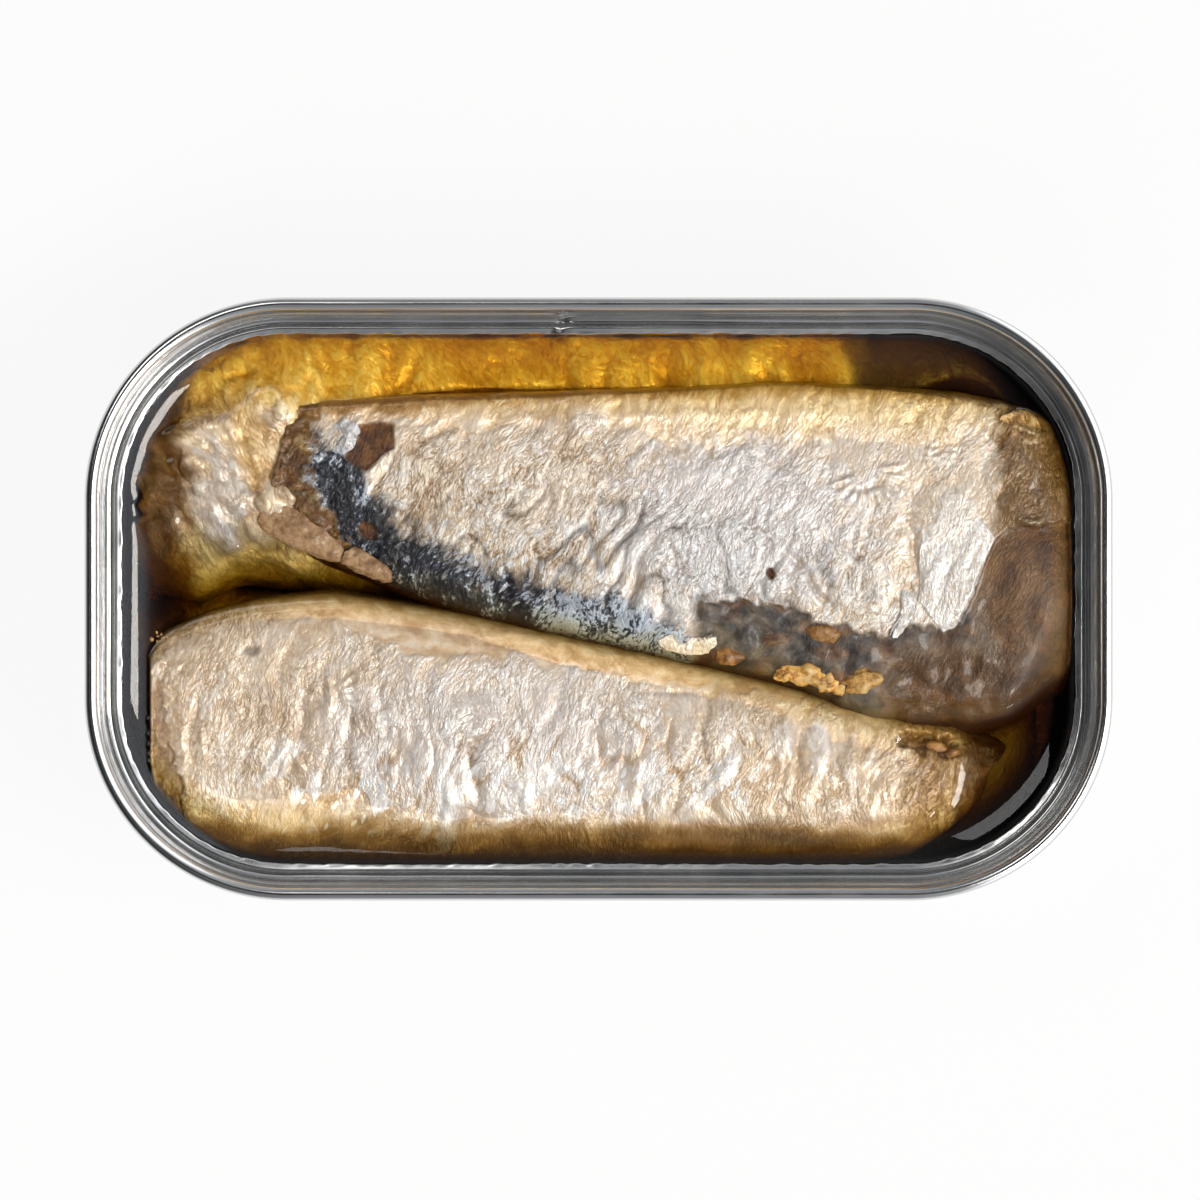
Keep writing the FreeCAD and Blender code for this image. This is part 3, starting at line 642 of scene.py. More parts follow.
def fish_skin(name):
    """Mother-of-pearl skin under oil: fine long flecks of white, peach and tan."""
    material, tree = new_material(name)
    grain = add(tree, "Attribute", attribute_name="grain").outputs["Vector"]
    field = {key: add(tree, "Attribute", attribute_name=key).outputs["Fac"] for key in FIELDS}

    def flecks(size, detail=3.0, distortion=0.4, offset=0.0):
        """Soft flecks of a size in millimetres."""
        place = add(tree, "VectorMath MULTIPLY_ADD", grain, [1 / part for part in size],
                    (offset, offset, 0))
        return add(tree, "TexNoise", place, Scale=1.0, Detail=detail, Roughness=0.6,
                   Distortion=distortion)

    def cushions(size, sharp, offset):
        """1 on small cushions and 0 in the creases between them."""
        off = add(tree, "Math SUBTRACT", flecks(size, 2.0, 0.25, offset), 0.5)
        off = add(tree, "Math MULTIPLY", add(tree, "Math ABSOLUTE", off), sharp)
        return add(tree, "Math MINIMUM", off, 1.0)

    def glints(fineness, above):
        """1 on a few small cells, where near-white glints are painted into the colour."""
        cell = add(tree, "TexVoronoi", add(tree, "VectorMath MULTIPLY", grain, fineness), Scale=1.0)
        chosen = add(tree, "Math GREATER_THAN", add(tree, "SeparateColor", cell.outputs["Color"]), above)
        return add(tree, "Math MULTIPLY", chosen, field["glint"])

    short = flecks((0.26, 0.48, 0.48), distortion=0.1, offset=9.0)
    patches = flecks((3.6, 5.5, 5.5), offset=21.0)
    small = cushions((0.55, 1.0, 1.0), 9.0, offset=5.0)
    large = cushions((1.3, 2.3, 2.3), 7.0, offset=15.0)
    # The creases between cushions and the crest field darken the tone as painted shade, and crests lighten
    # it as painted highlight.
    shade = -0.34 - MIDDLE
    for part, weight in ((large, 0.30), (small, 0.26), (short, 0.50), (field["crest"], 0.34),
                         (patches, 0.45)):
        shade = add(tree, "Math MULTIPLY_ADD", part, weight, shade)
    lively = add(tree, "Math MULTIPLY_ADD", field["calm"], -0.7, 1.0)
    shade = add(tree, "Math MULTIPLY_ADD", shade, lively, MIDDLE)
    tint = add(tree, "Math MULTIPLY_ADD", flecks((0.4, 0.9, 0.9), offset=14.0), 1.6, -1.15)
    tint = add(tree, "Math MULTIPLY_ADD", patches, 1.6, tint)
    gloomy = add(tree, "Math MULTIPLY", short, 0.75)
    for part, weight in ((large, 0.15), (field["cool"], 0.22), (patches, 0.75)):
        gloomy = add(tree, "Math MULTIPLY_ADD", part, weight, gloomy)
    meat = flecks((2.2, 1.6, 1.6), detail=4.0, distortion=0.2, offset=3.0)
    # The facets are raised a little and painted near-white, as glints.
    facets = glints((0.75, 0.42, 0.42), 0.83)

    skin = add(tree, "ValToRGB", shade, stops=zip(PALE, ("#A07E56", "#C8B49B", "#D6C6B4", "#F4EBE0")))
    for share, driver, places, codes in (
            (tint, shade, PALE, ("#9C7142", "#CDAA7E", "#DBBF9C", "#F6E6CF")),
            (add(tree, "Math MULTIPLY", field["cool"], 0.7), shade, PALE,
             ("#928B87", "#C1BDBC", "#CFCBCD", "#F0F0F2")),
            (field["tan"], shade, RICH, ("#684926", "#926D3D", "#AD8550", "#DABD8C")),
            (field["gold"], shade, RICH, ("#B4842F", "#D8A94E", "#EBC36C", "#FFECB0")),
            # the white field: painted highlights on the front fish, pale skin on the leaves and a flap
            (field["white"], shade, (0.14, 0.38, 0.62), ("#CDBEA8", "#EDE5DA", "#FFFFFF")),
            # painted glints on the facets
            (add(tree, "Math MULTIPLY", facets, 0.85), shade, (0, 1), ("#FBF8F4", "#FBF8F4")),
            (field["back"], gloomy, (0.68, 0.86, 0.96, 1.0), ("#0B0A0D", "#1E1F26", "#555B66", "#AEB6C0")),
            # painted glints: tiny near-white sparks
            (glints((3.0, 1.2, 1.2), 0.91), shade, (0, 1), ("#F4F6F8", "#F4F6F8")),
            (field["flesh"], meat, (0.36, 0.50, 0.64), ("#BC9A74", "#D8BA96", "#EAD7BD")),
            (field["grey"], meat, (0.36, 0.50, 0.60, 0.72), ("#2B2522", "#4D443D", "#65594C", "#857A6C")),
            (field["bare"], meat, (0.38, 0.50, 0.66), ("#3A1F09", "#5E3814", "#885826")),
            # painted shade: dark brown where the skin is sunk in the oil or shaded, with some real brown
            # flesh
            (field["deep"], meat, (0, 1), ("#2E1405", "#2E1405"))):
        over = add(tree, "ValToRGB", driver, stops=zip(places, codes))
        skin = add(tree, "Mix", share, _6=skin, _7=over, data_type="RGBA").outputs[2]

    raw = add(tree, "Math MAXIMUM", field["flesh"], field["grey"])
    raw = add(tree, "Math MAXIMUM", raw, field["bare"])
    silver = add(tree, "Math SUBTRACT", 1.0, raw)
    wet = add(tree, "Math MULTIPLY", field["grey"], 0.7)
    wet = add(tree, "Math MAXIMUM", field["bare"], wet)
    height = add(tree, "Math MULTIPLY_ADD", large, 0.55, short)
    for part, weight in ((small, 0.35), (facets, 0.6)):
        height = add(tree, "Math MULTIPLY_ADD", part, weight, height)
    height = add(tree, "Math MULTIPLY", height, lively)
    surface = add(tree, "BsdfPrincipled", skin, Coat_Roughness=0.12, Coat_IOR=1.47,
                  Coat_Weight=add(tree, "Math MULTIPLY_ADD", wet, -0.5, 0.6),
                  Metallic=add(tree, "Math MULTIPLY", silver, 0.25),
                  Roughness=add(tree, "Math MULTIPLY_ADD", raw, 0.2, 0.34),
                  Normal=add(tree, "Bump", Strength=0.9, Distance=0.00013, Height=height))
    add(tree, "OutputMaterial", surface)
    print(f"{name}: {len(FIELDS)} fields, {len(tree.nodes)} nodes")
    return material


pearl_skin = fish_skin("mother_of_pearl_fish_skin")

# %% [markdown]
# ## Sculpting a fish
# Each packed fish has the right outline and place, but it is smooth. A copy is remeshed into
# small even squares, which is what sculpting needs, and its underside, which no one sees, is
# thinned again. Then every point is moved along the way that the surface faces there.

# %% Tools for sculpting
def clay(node, name, voxel=0.2, share=0.56):
    """A copy of a fish, in small squares on top and thinned below."""
    piece = merged_copy(node, name)
    shape(piece, "REMESH", mode="VOXEL", voxel_size=voxel * MM)
    shape(piece, "SMOOTH", factor=0.5, iterations=4)
    under = piece.vertex_groups.new(name="underside")
    under.add(np.nonzero(facing_of(piece)[:, 2] < -0.1)[0].tolist(), 1.0, "REPLACE")
    shape(piece, "DECIMATE", ratio=share, vertex_group="underside")
    piece.vertex_groups.clear()
    return piece


def crest_line(heights):
    """Sharp crests where noise changes sign."""
    return 1 - 2.2 * np.sqrt(heights ** 2 + 0.004)


def puckers(spots, lean, seed):
    """Heights in millimetres of the skin's puckers, which cross a fish at an angle of lean
    degrees to its width, and the places along and across them."""
    grain = np.column_stack([*turned(spots, lean), spots[:, 2]])
    grain[:, 0] += 0.9 * rough(grain / 7, 2, seed)
    grain[:, 1] += 0.8 * rough(grain / 7, 2, seed + 20)
    broad = crest_line(noise(grain / (3.6, 7, 7), seed + 1))
    middle = crest_line(noise(grain / (1.6, 3.6, 3.6), seed + 2))
    fine = crest_line(noise(grain / (0.8, 1.7, 1.7), seed + 3))
    patchy = 0.35 + 0.65 * soft(0.5 + 0.9 * noise(grain / 7, seed + 4))
    pillow = np.minimum(3.2 * np.abs(noise(grain / (4.4, 9, 9), seed + 5)), 1)
    return 0.22 * (pillow - 0.7) + 0.08 * broad + patchy * (0.11 * middle + 0.07 * fine), grain


def pleats_of(grain, width, seed):
    """1 on broad pleats of a width in millimetres and 0 in the creases between them."""
    return np.minimum(3.5 * np.abs(noise(grain / (width, 6, 6), seed)), 1)


def sculpt(piece, height, grain, **fields):
    """Raises the top of a fish by the heights and stores what its material reads. The fields are
    held between 0 and 1, but calm may fall below 0, where skin is lively, and cool pass 1."""
    facing = facing_of(piece)
    lift = height * soft(0.1 + facing[:, 2])
    set_spots(piece, spots_of(piece) + facing * lift[:, None])
    # Unless given, the skin below the oil is painted darker, as painted shade.
    fields.setdefault("deep", soft((OIL_TOP + 0.3 - spots_of(piece)[:, 2]) / 3.0))
    # crest paints high places lighter and creases darker: painted highlight and painted shade.
    fields["crest"] = 0.5 + 1.3 * height
    empty = np.zeros(len(height))
    free = {key: fields.pop(key) for key in ("calm", "cool")}
    held = {key: np.clip(fields.get(key, empty), 0, 1) for key in FIELDS if key not in free}
    note(piece, grain=grain, **held, **free)

# %% [markdown]
# ## The front fish
# It lies with its cut end on the left and its tail on the right. A sculptor first gets the
# outline right: the inner side is bent a little, the belly is drawn in towards the tail, and the
# tail is pulled out and down until it dips into the oil.

# %% Front fish: outline
front = clay("fish_front", "front_fish")
spots = spots_of(front)
x, y, z = spots.T
inner = curve(x, (-46, 0.2), (-41, 2.1), (-34, 1.8), (-27, 0.4), (-20, -0.9), (-6, -4.3), (4.2, -6.5),
              (22.7, -10.7), (36, -14.9), (41, -16.5))
slip = curve(x, (-46, -3.8), (-43, -4.2), (-41, -3.9), (-34, -1.7), (-27, 0.2), (-20, 0.7),
             (-13, 1.1), (4, 1.5), (17, 1.5), (24, 1.2), (29, 1.5), (35, 2.2), (38, 1.7), (41, 1.0))
y += slip * soft((y + 26.8) / (inner + 26.8))
x -= 2.4 * soft((x - 26) / 13) * soft((-13.5 - y) / 5.5)
x += 2.5 * soft((x - 34) / 6)
z -= 3.0 * soft((x - 35) / 9)
set_spots(front, spots)
height, grain = puckers(spots, -14, 100)
flat = spots * (1, 1, 0)
print(f"front fish: {x.min():.1f} to {x.max():.1f} mm along the tin")

# %% [markdown]
# Then it says where what lies. Along the inner side the skin has slipped and leaves a smooth
# strip of flesh. The belly and the tail end are tan, a dark hollow lies in the tail, and a few
# places of the skin are painted nearly white as highlights. The middle is cooler and has the most
# painted glints.

# %% Front fish: what lies where
strip_edge = curve(x, (-46, -4), (-40.7, -3.1), (-31, -1.8), (-26.8, -2.4), (-24, -3.3), (-19.8, -5.6),
                   (-14.2, -6.4), (-8.6, -6.2), (-4, -7), (5.7, -8.8), (10.4, -9.1), (16.5, -9.7),
                   (25.7, -11.6), (32, -14.5))
flesh = soft((y - strip_edge + 0.9 * rough(flat / 2.2, 3, 40)) / 0.8 + 0.5) * soft((x + 37) / 8)
flesh *= soft((33 - x) / 8)
low = -21.5 - y + 1.4 * rough(flat / (5, 2.5, 1), 2, 43)
patchy = soft(0.5 + 1.2 * noise(flat / 4, 66))
tan = most(0.3 * blot(spots, (-30.8, -8.8), (3.4, 3.0), edge=1.2, ragged=0.5, seed=41),
           soft(low / 3.0), 0.95 * soft((x - 25 + 3 * noise(flat / 4, 44)) / 9),
           0.42 * patchy * (soft((-16 - x) / 10) + soft((x - 6) / 10)))
spot = blot(spots, (-35.6, -5.3), (0.9, 0.5), edge=0.8, ragged=0.6, seed=45)
end_edge = curve(-y, (0, -46.5), (3.5, -45.6), (12, -44.2), (17.3, -43.3), (20, -42.6))
cut_face = soft((end_edge - x + 0.4 * rough(flat / 1.2, 2, 58)) / 0.4) * soft((-6 - y) / 5)
hollow = blot(spots, (34.4, -15.0), (3.1, 1.0), turn=-12, ragged=0.5, seed=46)
tail_end = soft((x - 33.5 + 0.8 * rough(flat / 2, 2, 67)) / 3)
# Painted highlights: a few near-white blots on the belly.
white = sum(share * blot(spots, centre, size, turn=turn, ragged=ragged, seed=seed)
            for seed, (share, centre, size, turn, ragged) in enumerate((
                (0.9, (-32.8, -16.6), (1.4, 2.6), -35, 0.6), (0.8, (-15.7, -22), (1.2, 3.6), 0, 0.6),
                (0.8, (-7.8, -20.3), (1.6, 2.8), -20, 0.6), (0.9, (3.4, -20.4), (1.5, 1.5), 0, 0.5),
                (0.8, (12.2, -18.2), (3.0, 1.1), 42, 0.5), (0.9, (22.6, -15.2), (1.0, 3.0), 0, 0.4),
                (0.7, (18.8, -14.5), (1.1, 2.0), 0, 0.5)), start=47))
print(f"front fish: {100 * np.mean(flesh):.0f}% bare flesh")

# %% [markdown]
# Last comes the relief. Near the cut end a few stiff folds fan out, and towards the tail the skin
# hangs in broad pleats. Flesh and belly are calmer than skin, and the tail end is torn.

# %% Front fish: relief
height *= (1 - 0.85 * flesh) * (1 - 0.5 * hollow)
bent = spots + 0.5 * noise(flat / 2.5, 54)[:, None]
for start, end, width, rise in (
        ((-42.8, -11.5), (-42.5, -19.3), 0.45, 0.45), ((-41.0, -11.0), (-40.7, -18.8), 0.45, 0.40),
        ((-27.5, -6.8), (-27.4, -13.0), 0.40, 0.55), ((-27.2, -9.4), (-24.3, -7.2), 0.25, 0.30),
        ((-27.2, -9.7), (-23.9, -8.6), 0.25, 0.30), ((-27.2, -10.0), (-23.9, -10.1), 0.25, 0.28),
        ((-27.0, -10.5), (-24.4, -11.6), 0.25, 0.28), ((-35.0, -19.2), (-31.6, -14.2), 0.40, 0.50),
        ((-33.6, -19.6), (-31.4, -15.0), 0.30, 0.40), ((-30.4, -18.6), (-31.2, -15.0), 0.35, 0.40),
        ((-15.4, -18.0), (-16.0, -26.5), 0.70, 0.50), ((-8.0, -16.6), (-7.2, -23.8), 0.80, 0.45),
        ((3.6, -10.8), (3.8, -21.8), 0.90, 0.40), ((10.0, -20.6), (14.8, -16.0), 0.60, 0.45),
        ((18.9, -11.6), (19.2, -17.6), 0.80, 0.55), ((22.4, -11.4), (22.8, -19.0), 0.85, 0.60),
        ((26.2, -12.6), (26.4, -18.6), 0.70, 0.40), ((-29.0, -0.6), (18.0, -8.6), 0.50, 0.22)):
    height += fold(bent, start, end, width, rise)
bent = spots + 0.5 * noise(flat / 2.5, 55)[:, None]
for start, end, width, drop in (
        ((2.0, -9.2), (14.0, -9.9), 0.35, 0.20), ((-24, -3.6), (-6, -7.0), 0.30, 0.22),
        ((20.7, -11.4), (20.9, -19.4), 0.55, 0.45), ((24.6, -12.0), (24.7, -19.0), 0.50, 0.40)):
    height -= fold(bent, start, end, width, drop)
pleated = blot(spots, (-2, -18), (36, 5.5), turn=3, ragged=0.3, edge=0.9, seed=64)
pleats = pleats_of(grain, 3.4, 65)
height *= 0.75
height += pleated * 0.17 * (pleats - 0.7)
height *= 1 - 0.7 * soft(low / 3)
height += tail_end * 0.25 * rough(spots / 1.3, 3, 68)
height -= 0.7 * hollow + 0.15 * spot + 0.4 * cut_face
height += hollow * 0.4 * rough(spots / 1.1, 2, 59)
cut_end = soft((-41.5 - x) / 3)
height += cut_end * 0.15 * rough(spots / 0.9, 3, 56)
print(f"front fish: relief from {height.min():.1f} to {height.max():.1f} mm")

# %% Front fish: finish
calm = 0.8 * flesh + 0.7 * soft(low / 3) + 0.8 * soft(0.4 + 1.3 * noise(flat / 6, 63))
# Painted shade: tan in the creases between the pleats.
tan = most(tan, 0.6 * pleated * soft(1 - 2 * pleats))
# Painted shade: the lower flank of the belly, the tail and most of all its tip, whose side faces the key
# lamp, are painted dark brown, and so is the skin below the oil.
in_tail = 0.30 * soft((x - 28) / 8) + 0.20 * soft((x - 36) / 3)
deep = most(soft((OIL_TOP + 0.3 - z) / 3.0), 0.85 * soft((low - 0.3) / 4.5), in_tail)
sculpt(front, height, grain, flesh=flesh, tan=tan, white=0.4 * np.clip(white, 0, 1), deep=deep,
       grey=0.6 * spot, bare=0.6 * hollow + 0.5 * cut_face + 0.9 * tail_end * soft((x - 36) / 3),
       cool=0.75 * blot(spots, (-12, -14), (20, 8), ragged=0.4, edge=1.2, seed=57),
       calm=np.clip(calm, 0, 1),
       glint=0.75 * blot(spots, (-8, -19.5), (30, 3.5), turn=3, ragged=0.3, edge=0.8, seed=62))
hand_in(front, pearl_skin, "fish_skin", "fish_front")

# %% [markdown]
# ## The back fish
# Its head end is on the right and its tail end, cut ragged, on the left. Its puckers lean. Again
# the outline comes first: its outer side is drawn in, and both ends are rounded.

# %% Back fish: outline
back_fish = clay("fish_back", "back_fish", share=0.52)
spots = spots_of(back_fish)
x, y, z = spots.T
outer = curve(x, (-30, 19.6), (-20, 20.2), (-10, 20.5), (0, 20.9), (10, 21.4), (16.5, 21.9),
              (20.6, 22.0), (26.7, 21.6), (32.8, 21.1), (37, 20.4), (41, 19.4), (48, 18.0))
y -= 0.75 * np.maximum(y - outer, 0)
x -= 0.04 * np.maximum(x - 44.5, 0) ** 2
y -= 2.2 * soft((x - 20) / 8) * soft((47 - x) / 5) * soft((3 - y) / 10)
y += 1.0 * soft((x - 37) / 7) * soft((-1 - y) / 11)
x -= curve(y, (6, 3.6), (9, 3.4), (13, 2.6), (17, 1.5), (21, 0.4)) * soft((-23 - x) / 7)
set_spots(back_fish, spots)
height, grain = puckers(spots, -28, 200)
flat = spots * (1, 1, 0)
wander = rough(flat / 3, 3, 60)
print(f"back fish: {x.min():.1f} to {x.max():.1f} mm along the tin")

# %% [markdown]
# Along its lower left runs the blue-black of the back. On the right the skin has torn away, and
# dark bare flesh shows below the tear, with smooth brown flesh at the head end. The tail end has
# lost its skin too, with a small window in front of it. An oval, a flap and a little hole are
# marks of their own.

# %% Back fish: what lies where
dark_edge = curve(x, (-33, 17), (-25.9, 16.2), (-23.3, 12.1), (-20.3, 8.1), (-12.1, 4.0),
                  (-3.9, 1.7), (4.2, -0.5), (10.4, -4.2), (14, -8))
back = soft((dark_edge - y + 1.0 * wander + 1.3 * rough(grain / (0.9, 2.0, 2.0), 2, 75)) / 3.6 + 0.5)
skin_edge = curve(x, (8, -5), (10.4, -0.1), (14.4, 0.2), (19.5, -1.3), (24.8, -2.8), (28.7, -4.0),
                  (33, -2.6), (35.4, -3.6), (38.0, -0.5), (40.5, 5.5), (42, 7.3), (52, 8))
torn = soft((skin_edge - y + 0.7 * rough(flat / 1.5, 3, 61)) / 0.5 + 0.5) * soft((x - 9) / 1.5)
head_flesh = torn * soft((x - 38.5 + 1.2 * wander + 0.25 * (y + 5)) / 4)
grey = torn - head_flesh
gold_skin = soft((x - 40 + wander) / 2) * (1 - torn)
skin_end = curve(y, (4, -24.5), (6, -25.5), (10, -28.2), (13, -29.4), (17, -28.8), (20, -28.4))
tail_flesh = soft((skin_end - x + 0.9 * rough(flat / 1.5, 3, 62)) / 0.9)
back = back * (1 - tail_flesh) * soft((34 - x) / 6)
top_strip = curve(x, (-30, 18.2), (-20.3, 18.9), (-12, 19.3), (-4, 19.7), (4.2, 20.0), (12.4, 20.4),
                  (20.6, 20.8), (28.7, 20.4), (38, 19.6), (50, 18.5))
past_strip = (y - top_strip + 0.6 * wander) / 1.6
WINDOW = np.array([(-24.8, 17.9), (-22.8, 18.3), (-21.1, 18.0), (-21.0, 15.5), (-22.3, 14.7),
                   (-23.7, 13.2), (-25.2, 13.6), (-26.2, 14.7), (-25.4, 15.7), (-24.7, 16.7)])
window = soft((1 - reach_of(spots, WINDOW)) / 0.12 + 0.5)
bare = most(window, blot(spots, (-23.8, 7.0), (1.2, 0.8), turn=-30, seed=64),
            0.75 * tail_flesh * soft(0.7 + rough(flat / 2.5, 3, 65)))
black_spot = blot(spots, (-27.4, 13.7), (2.0, 1.6), turn=-30, seed=66)
hole = blot(spots, (17.7, 2.6), (0.45, 0.65), turn=20, ragged=0.1, seed=67)
oval = blot(spots, (28.0, 14.8), (4.3, 3.9), ragged=0.1, edge=0.8, seed=68)
flap = blot(spots, (36.4, 4.2), (2.9, 7.0), turn=-6, ragged=0.12, edge=0.3, seed=69)
print(f"back fish: {100 * np.mean(torn):.0f}% torn, {100 * np.mean(back):.0f}% dark back")

# %% [markdown]
# In the relief, short folds stand round the oval like rays, and rows of tiny scales have stayed
# beside it. Single folds and creases follow, and the pleats of the loose skin come last.

# %% Back fish: relief
OVAL_MIDDLE = np.array((27.5, 13.0))
height *= (1 - 0.75 * oval) * (1 - 0.9 * bare) * (1 - 0.9 * head_flesh) * (1 - 0.5 * grey)
height += 0.15 * oval + 0.2 * flap - 0.45 * torn - 0.6 * hole - 0.25 * bare
for turn in range(-160, 30, 19):
    ray = np.array((math.cos(math.radians(turn)), math.sin(math.radians(turn))))
    height += fold(spots, OVAL_MIDDLE + 0.8 * ray, OVAL_MIDDLE + 4.4 * ray, 0.26, 0.38)
rows = soft(1.2 - np.abs(x - 35.6) / 2.6) * soft(1.2 - np.abs(y - 15.1) / 2.8)
scales = np.sin(2 * math.pi * (y + 0.25 * np.sin(2.1 * x)) / 0.75)
height += rows * 0.12 * scales * np.sin(2 * math.pi * x / 1.9)
bent = spots + 0.6 * noise(flat / 2.5, 71)[:, None]
for start, end, width, rise in (
        ((18.3, 6.2), (24.8, -2.4), 0.35, -0.55), ((31.5, 9.8), (33.2, -1.0), 0.35, -0.40),
        ((24.0, 11.6), (32.2, 11.4), 0.35, -0.35), ((24.6, 5.6), (24.9, -1.8), 0.80, 0.35),
        ((28.2, 5.0), (28.6, -3.0), 0.80, 0.35), ((-22.0, 18.2), (36.0, 19.4), 0.60, 0.20),
        ((41.5, 18.6), (46.5, 16.0), 0.60, 0.70), ((42.0, 8.6), (47.0, 8.0), 0.45, 0.45)):
    height += fold(bent, start, end, width, rise)
height += head_flesh * 0.10 * np.cos((x - 43.3 + 0.5 * noise(flat / 5, 84)) / 2.2)
height += tail_flesh * 0.45 * rough(spots / 1.5, 3, 72) + grey * 0.30 * rough(flat / 3.2, 2, 73)
height += black_spot * 0.2 * rough(flat / 0.9, 2, 74)
pleated = blot(spots, (4, 4.0), (25, 6), turn=-8, ragged=0.3, edge=0.8, seed=79) * (1 - torn)
pleats = pleats_of(grain, 2.6, 78)
height += pleated * 0.24 * (pleats - 0.7)
print(f"back fish: relief from {height.min():.1f} to {height.max():.1f} mm")

# %% [markdown]
# The finish follows from the same places. What dips below the oil is painted dark brown as shade,
# but gold along the outer side, where the oil is thin. The head flesh is painted darker towards
# the bottom as shade. The dark left end is the liveliest, so calm goes below 0.

# %% Back fish: finish
sunk = soft((OIL_TOP + 0.3 - z) / 2.5)
outer_side = soft((y - 12 - 0.1 * x) / 3) * soft((48 - x) / 3)
speckle = grey * soft((x - 27) / 6) * soft((-3.5 - y) / 4)
spread = blot(spots, (14, 7.5), (13, 8), ragged=0.4, edge=1.0, seed=70)
cool = most(soft(0.2 + 0.8 * spread), soft((x + 12) / 14) * back)
# Brown of bare flesh and skin, and painted shade: the head flesh darkens towards the bottom.
brown_and_shaded = (0.42 * head_flesh + 0.40 * head_flesh * soft((-2 - y) / 8) + 0.58 * gold_skin
         + 0.65 * speckle + 0.20 * tail_flesh + 0.35 * window + 0.35 * soft(past_strip))
calm = 0.6 * soft(0.3 + 1.3 * noise(flat / 6, 77)) + 0.3 * head_flesh + 0.6 * sunk + 0.25 * oval
calm = np.clip(calm + 0.5 * soft((y - 17 - 0.06 * x) / 3) + 0.5 * grey, 0, 1)
calm -= 0.9 * most(pleated, soft((4 - x) / 12) * soft((18 - y) / 4)) * (1 - calm)
stained = soft(0.4 + 1.2 * noise(flat / 3.5, 82)) * soft((8 - x) / 14) * (1 - grey)
bare = most(bare, 0.9 * head_flesh * (0.8 + 0.4 * noise(flat / (2.5, 5, 1), 83)), 0.7 * speckle,
            0.6 * grey * soft(0.1 + 1.4 * noise(flat / (3.0, 1.6, 1), 81)))
# Painted shade: dark grey in the creases between the pleats.
shadow = 0.55 * pleated * soft(1.1 - 2 * pleats) + 0.10 * pleated
glint = 0.7 * blot(spots, (6, 2.0), (24, 5.0), turn=-10, ragged=0.3, edge=0.8, seed=76)
sculpt(back_fish, height, grain, back=np.clip(most(back, black_spot), 0, 1) * (1 - grey),
       flesh=0.12 * head_flesh, grey=most(grey * (1 - 0.75 * speckle), shadow),
       tan=most(soft(past_strip + 0.3), gold_skin, tail_flesh, head_flesh, 0.35 * stained, speckle),
       gold=sunk * outer_side + 0.3 * speckle, bare=bare + hole, white=0.3 * flap * (1 - torn),
       deep=sunk * (1 - outer_side) + brown_and_shaded, cool=cool, calm=calm, glint=glint * (1 - torn))
hand_in(back_fish, pearl_skin, "fish_skin", "fish_back")

# %% [markdown]
# ## The two fish below
# They show at the back and on the left, a millimetre or two under the oil, so their puckers are
# longer and lower, and the oil gives them most of their colour. Both are made in the same way.
# Their outline is drawn in at the back and on the left, a piece of loose skin floats up to the
# oil's surface, and no point may end up in the can's wall.

# %% Lower fish: outline
LOOSE_SKIN = np.array([(-44.3, 16.6), (-42.8, 17.9), (-41.2, 18.3), (-37.6, 18.6), (-36.4, 14.6),
                       (-35.7, 10.4), (-37.1, 7.7), (-37.4, 5.6), (-40.2, 5.6), (-41.2, 8.4),
                       (-42.6, 10.8), (-44.0, 13.9)])


def lower_fish(node, name, seed):
    """A fish below in its outline, where its loose skin lies, and the creases in that."""
    fish = clay(node, name, voxel=0.3)
    spots = spots_of(fish)
    x, y, z = spots.T
    flat = spots * (1, 1, 0)
    y -= 5.8 * soft((26.5 - y) / 4) * soft((z - 11) / 5) * soft((y - 15) / 4) * soft((x + 34) / 8)
    z += 1.0 * soft((y - 15) / 4) * soft((z - 14) / 4) * soft((x + 40) / 8)
    y += np.minimum(1.6 * soft((y - 23) / 4) * soft((z - 13) / 4), np.maximum(29.4 - y, 0))
    x -= (3.2 - 1.5 * soft(0.5 + 1.2 * rough(flat / 4, 3, seed + 18))) * soft((-37 - x) / 6)
    y -= 2.8 * soft((-36 - x) / 6) * soft((9 - y) / 6) * (node == "fish_under_back")
    z += 2.0 * soft((-24 - x) / 8) * soft((14 - y) / 5) * soft((y + 2) / 4) * soft((z - 15) / 4)
    loose = 1.15 - reach_of(spots, LOOSE_SKIN) + 0.12 * noise(flat / 1.5, seed + 15)
    loose = soft(loose / 0.3) * (z > 14)
    creases = crest_line(noise(flat @ ((0.62, 0.17, 0), (0.28, -0.12, 0), (0, 0, 0)), seed + 16))
    creases += 0.4 * crest_line(noise(flat @ ((1.5, 0.3, 0), (0.6, -0.5, 0), (0, 0, 0)), seed + 17))
    z += loose * (np.maximum(OIL_TOP + 0.15 - z, 0) + 0.40 * creases)
    outermost = WALL_INSET + 0.45 + 2.6 * soft((3.5 - z) / 3.5)
    over = inset_of(spots) < outermost
    spots[over, :2] += inward(spots[over]) * (outermost - inset_of(spots))[over, None]
    set_spots(fish, spots)
    return fish, spots, flat, loose, creases


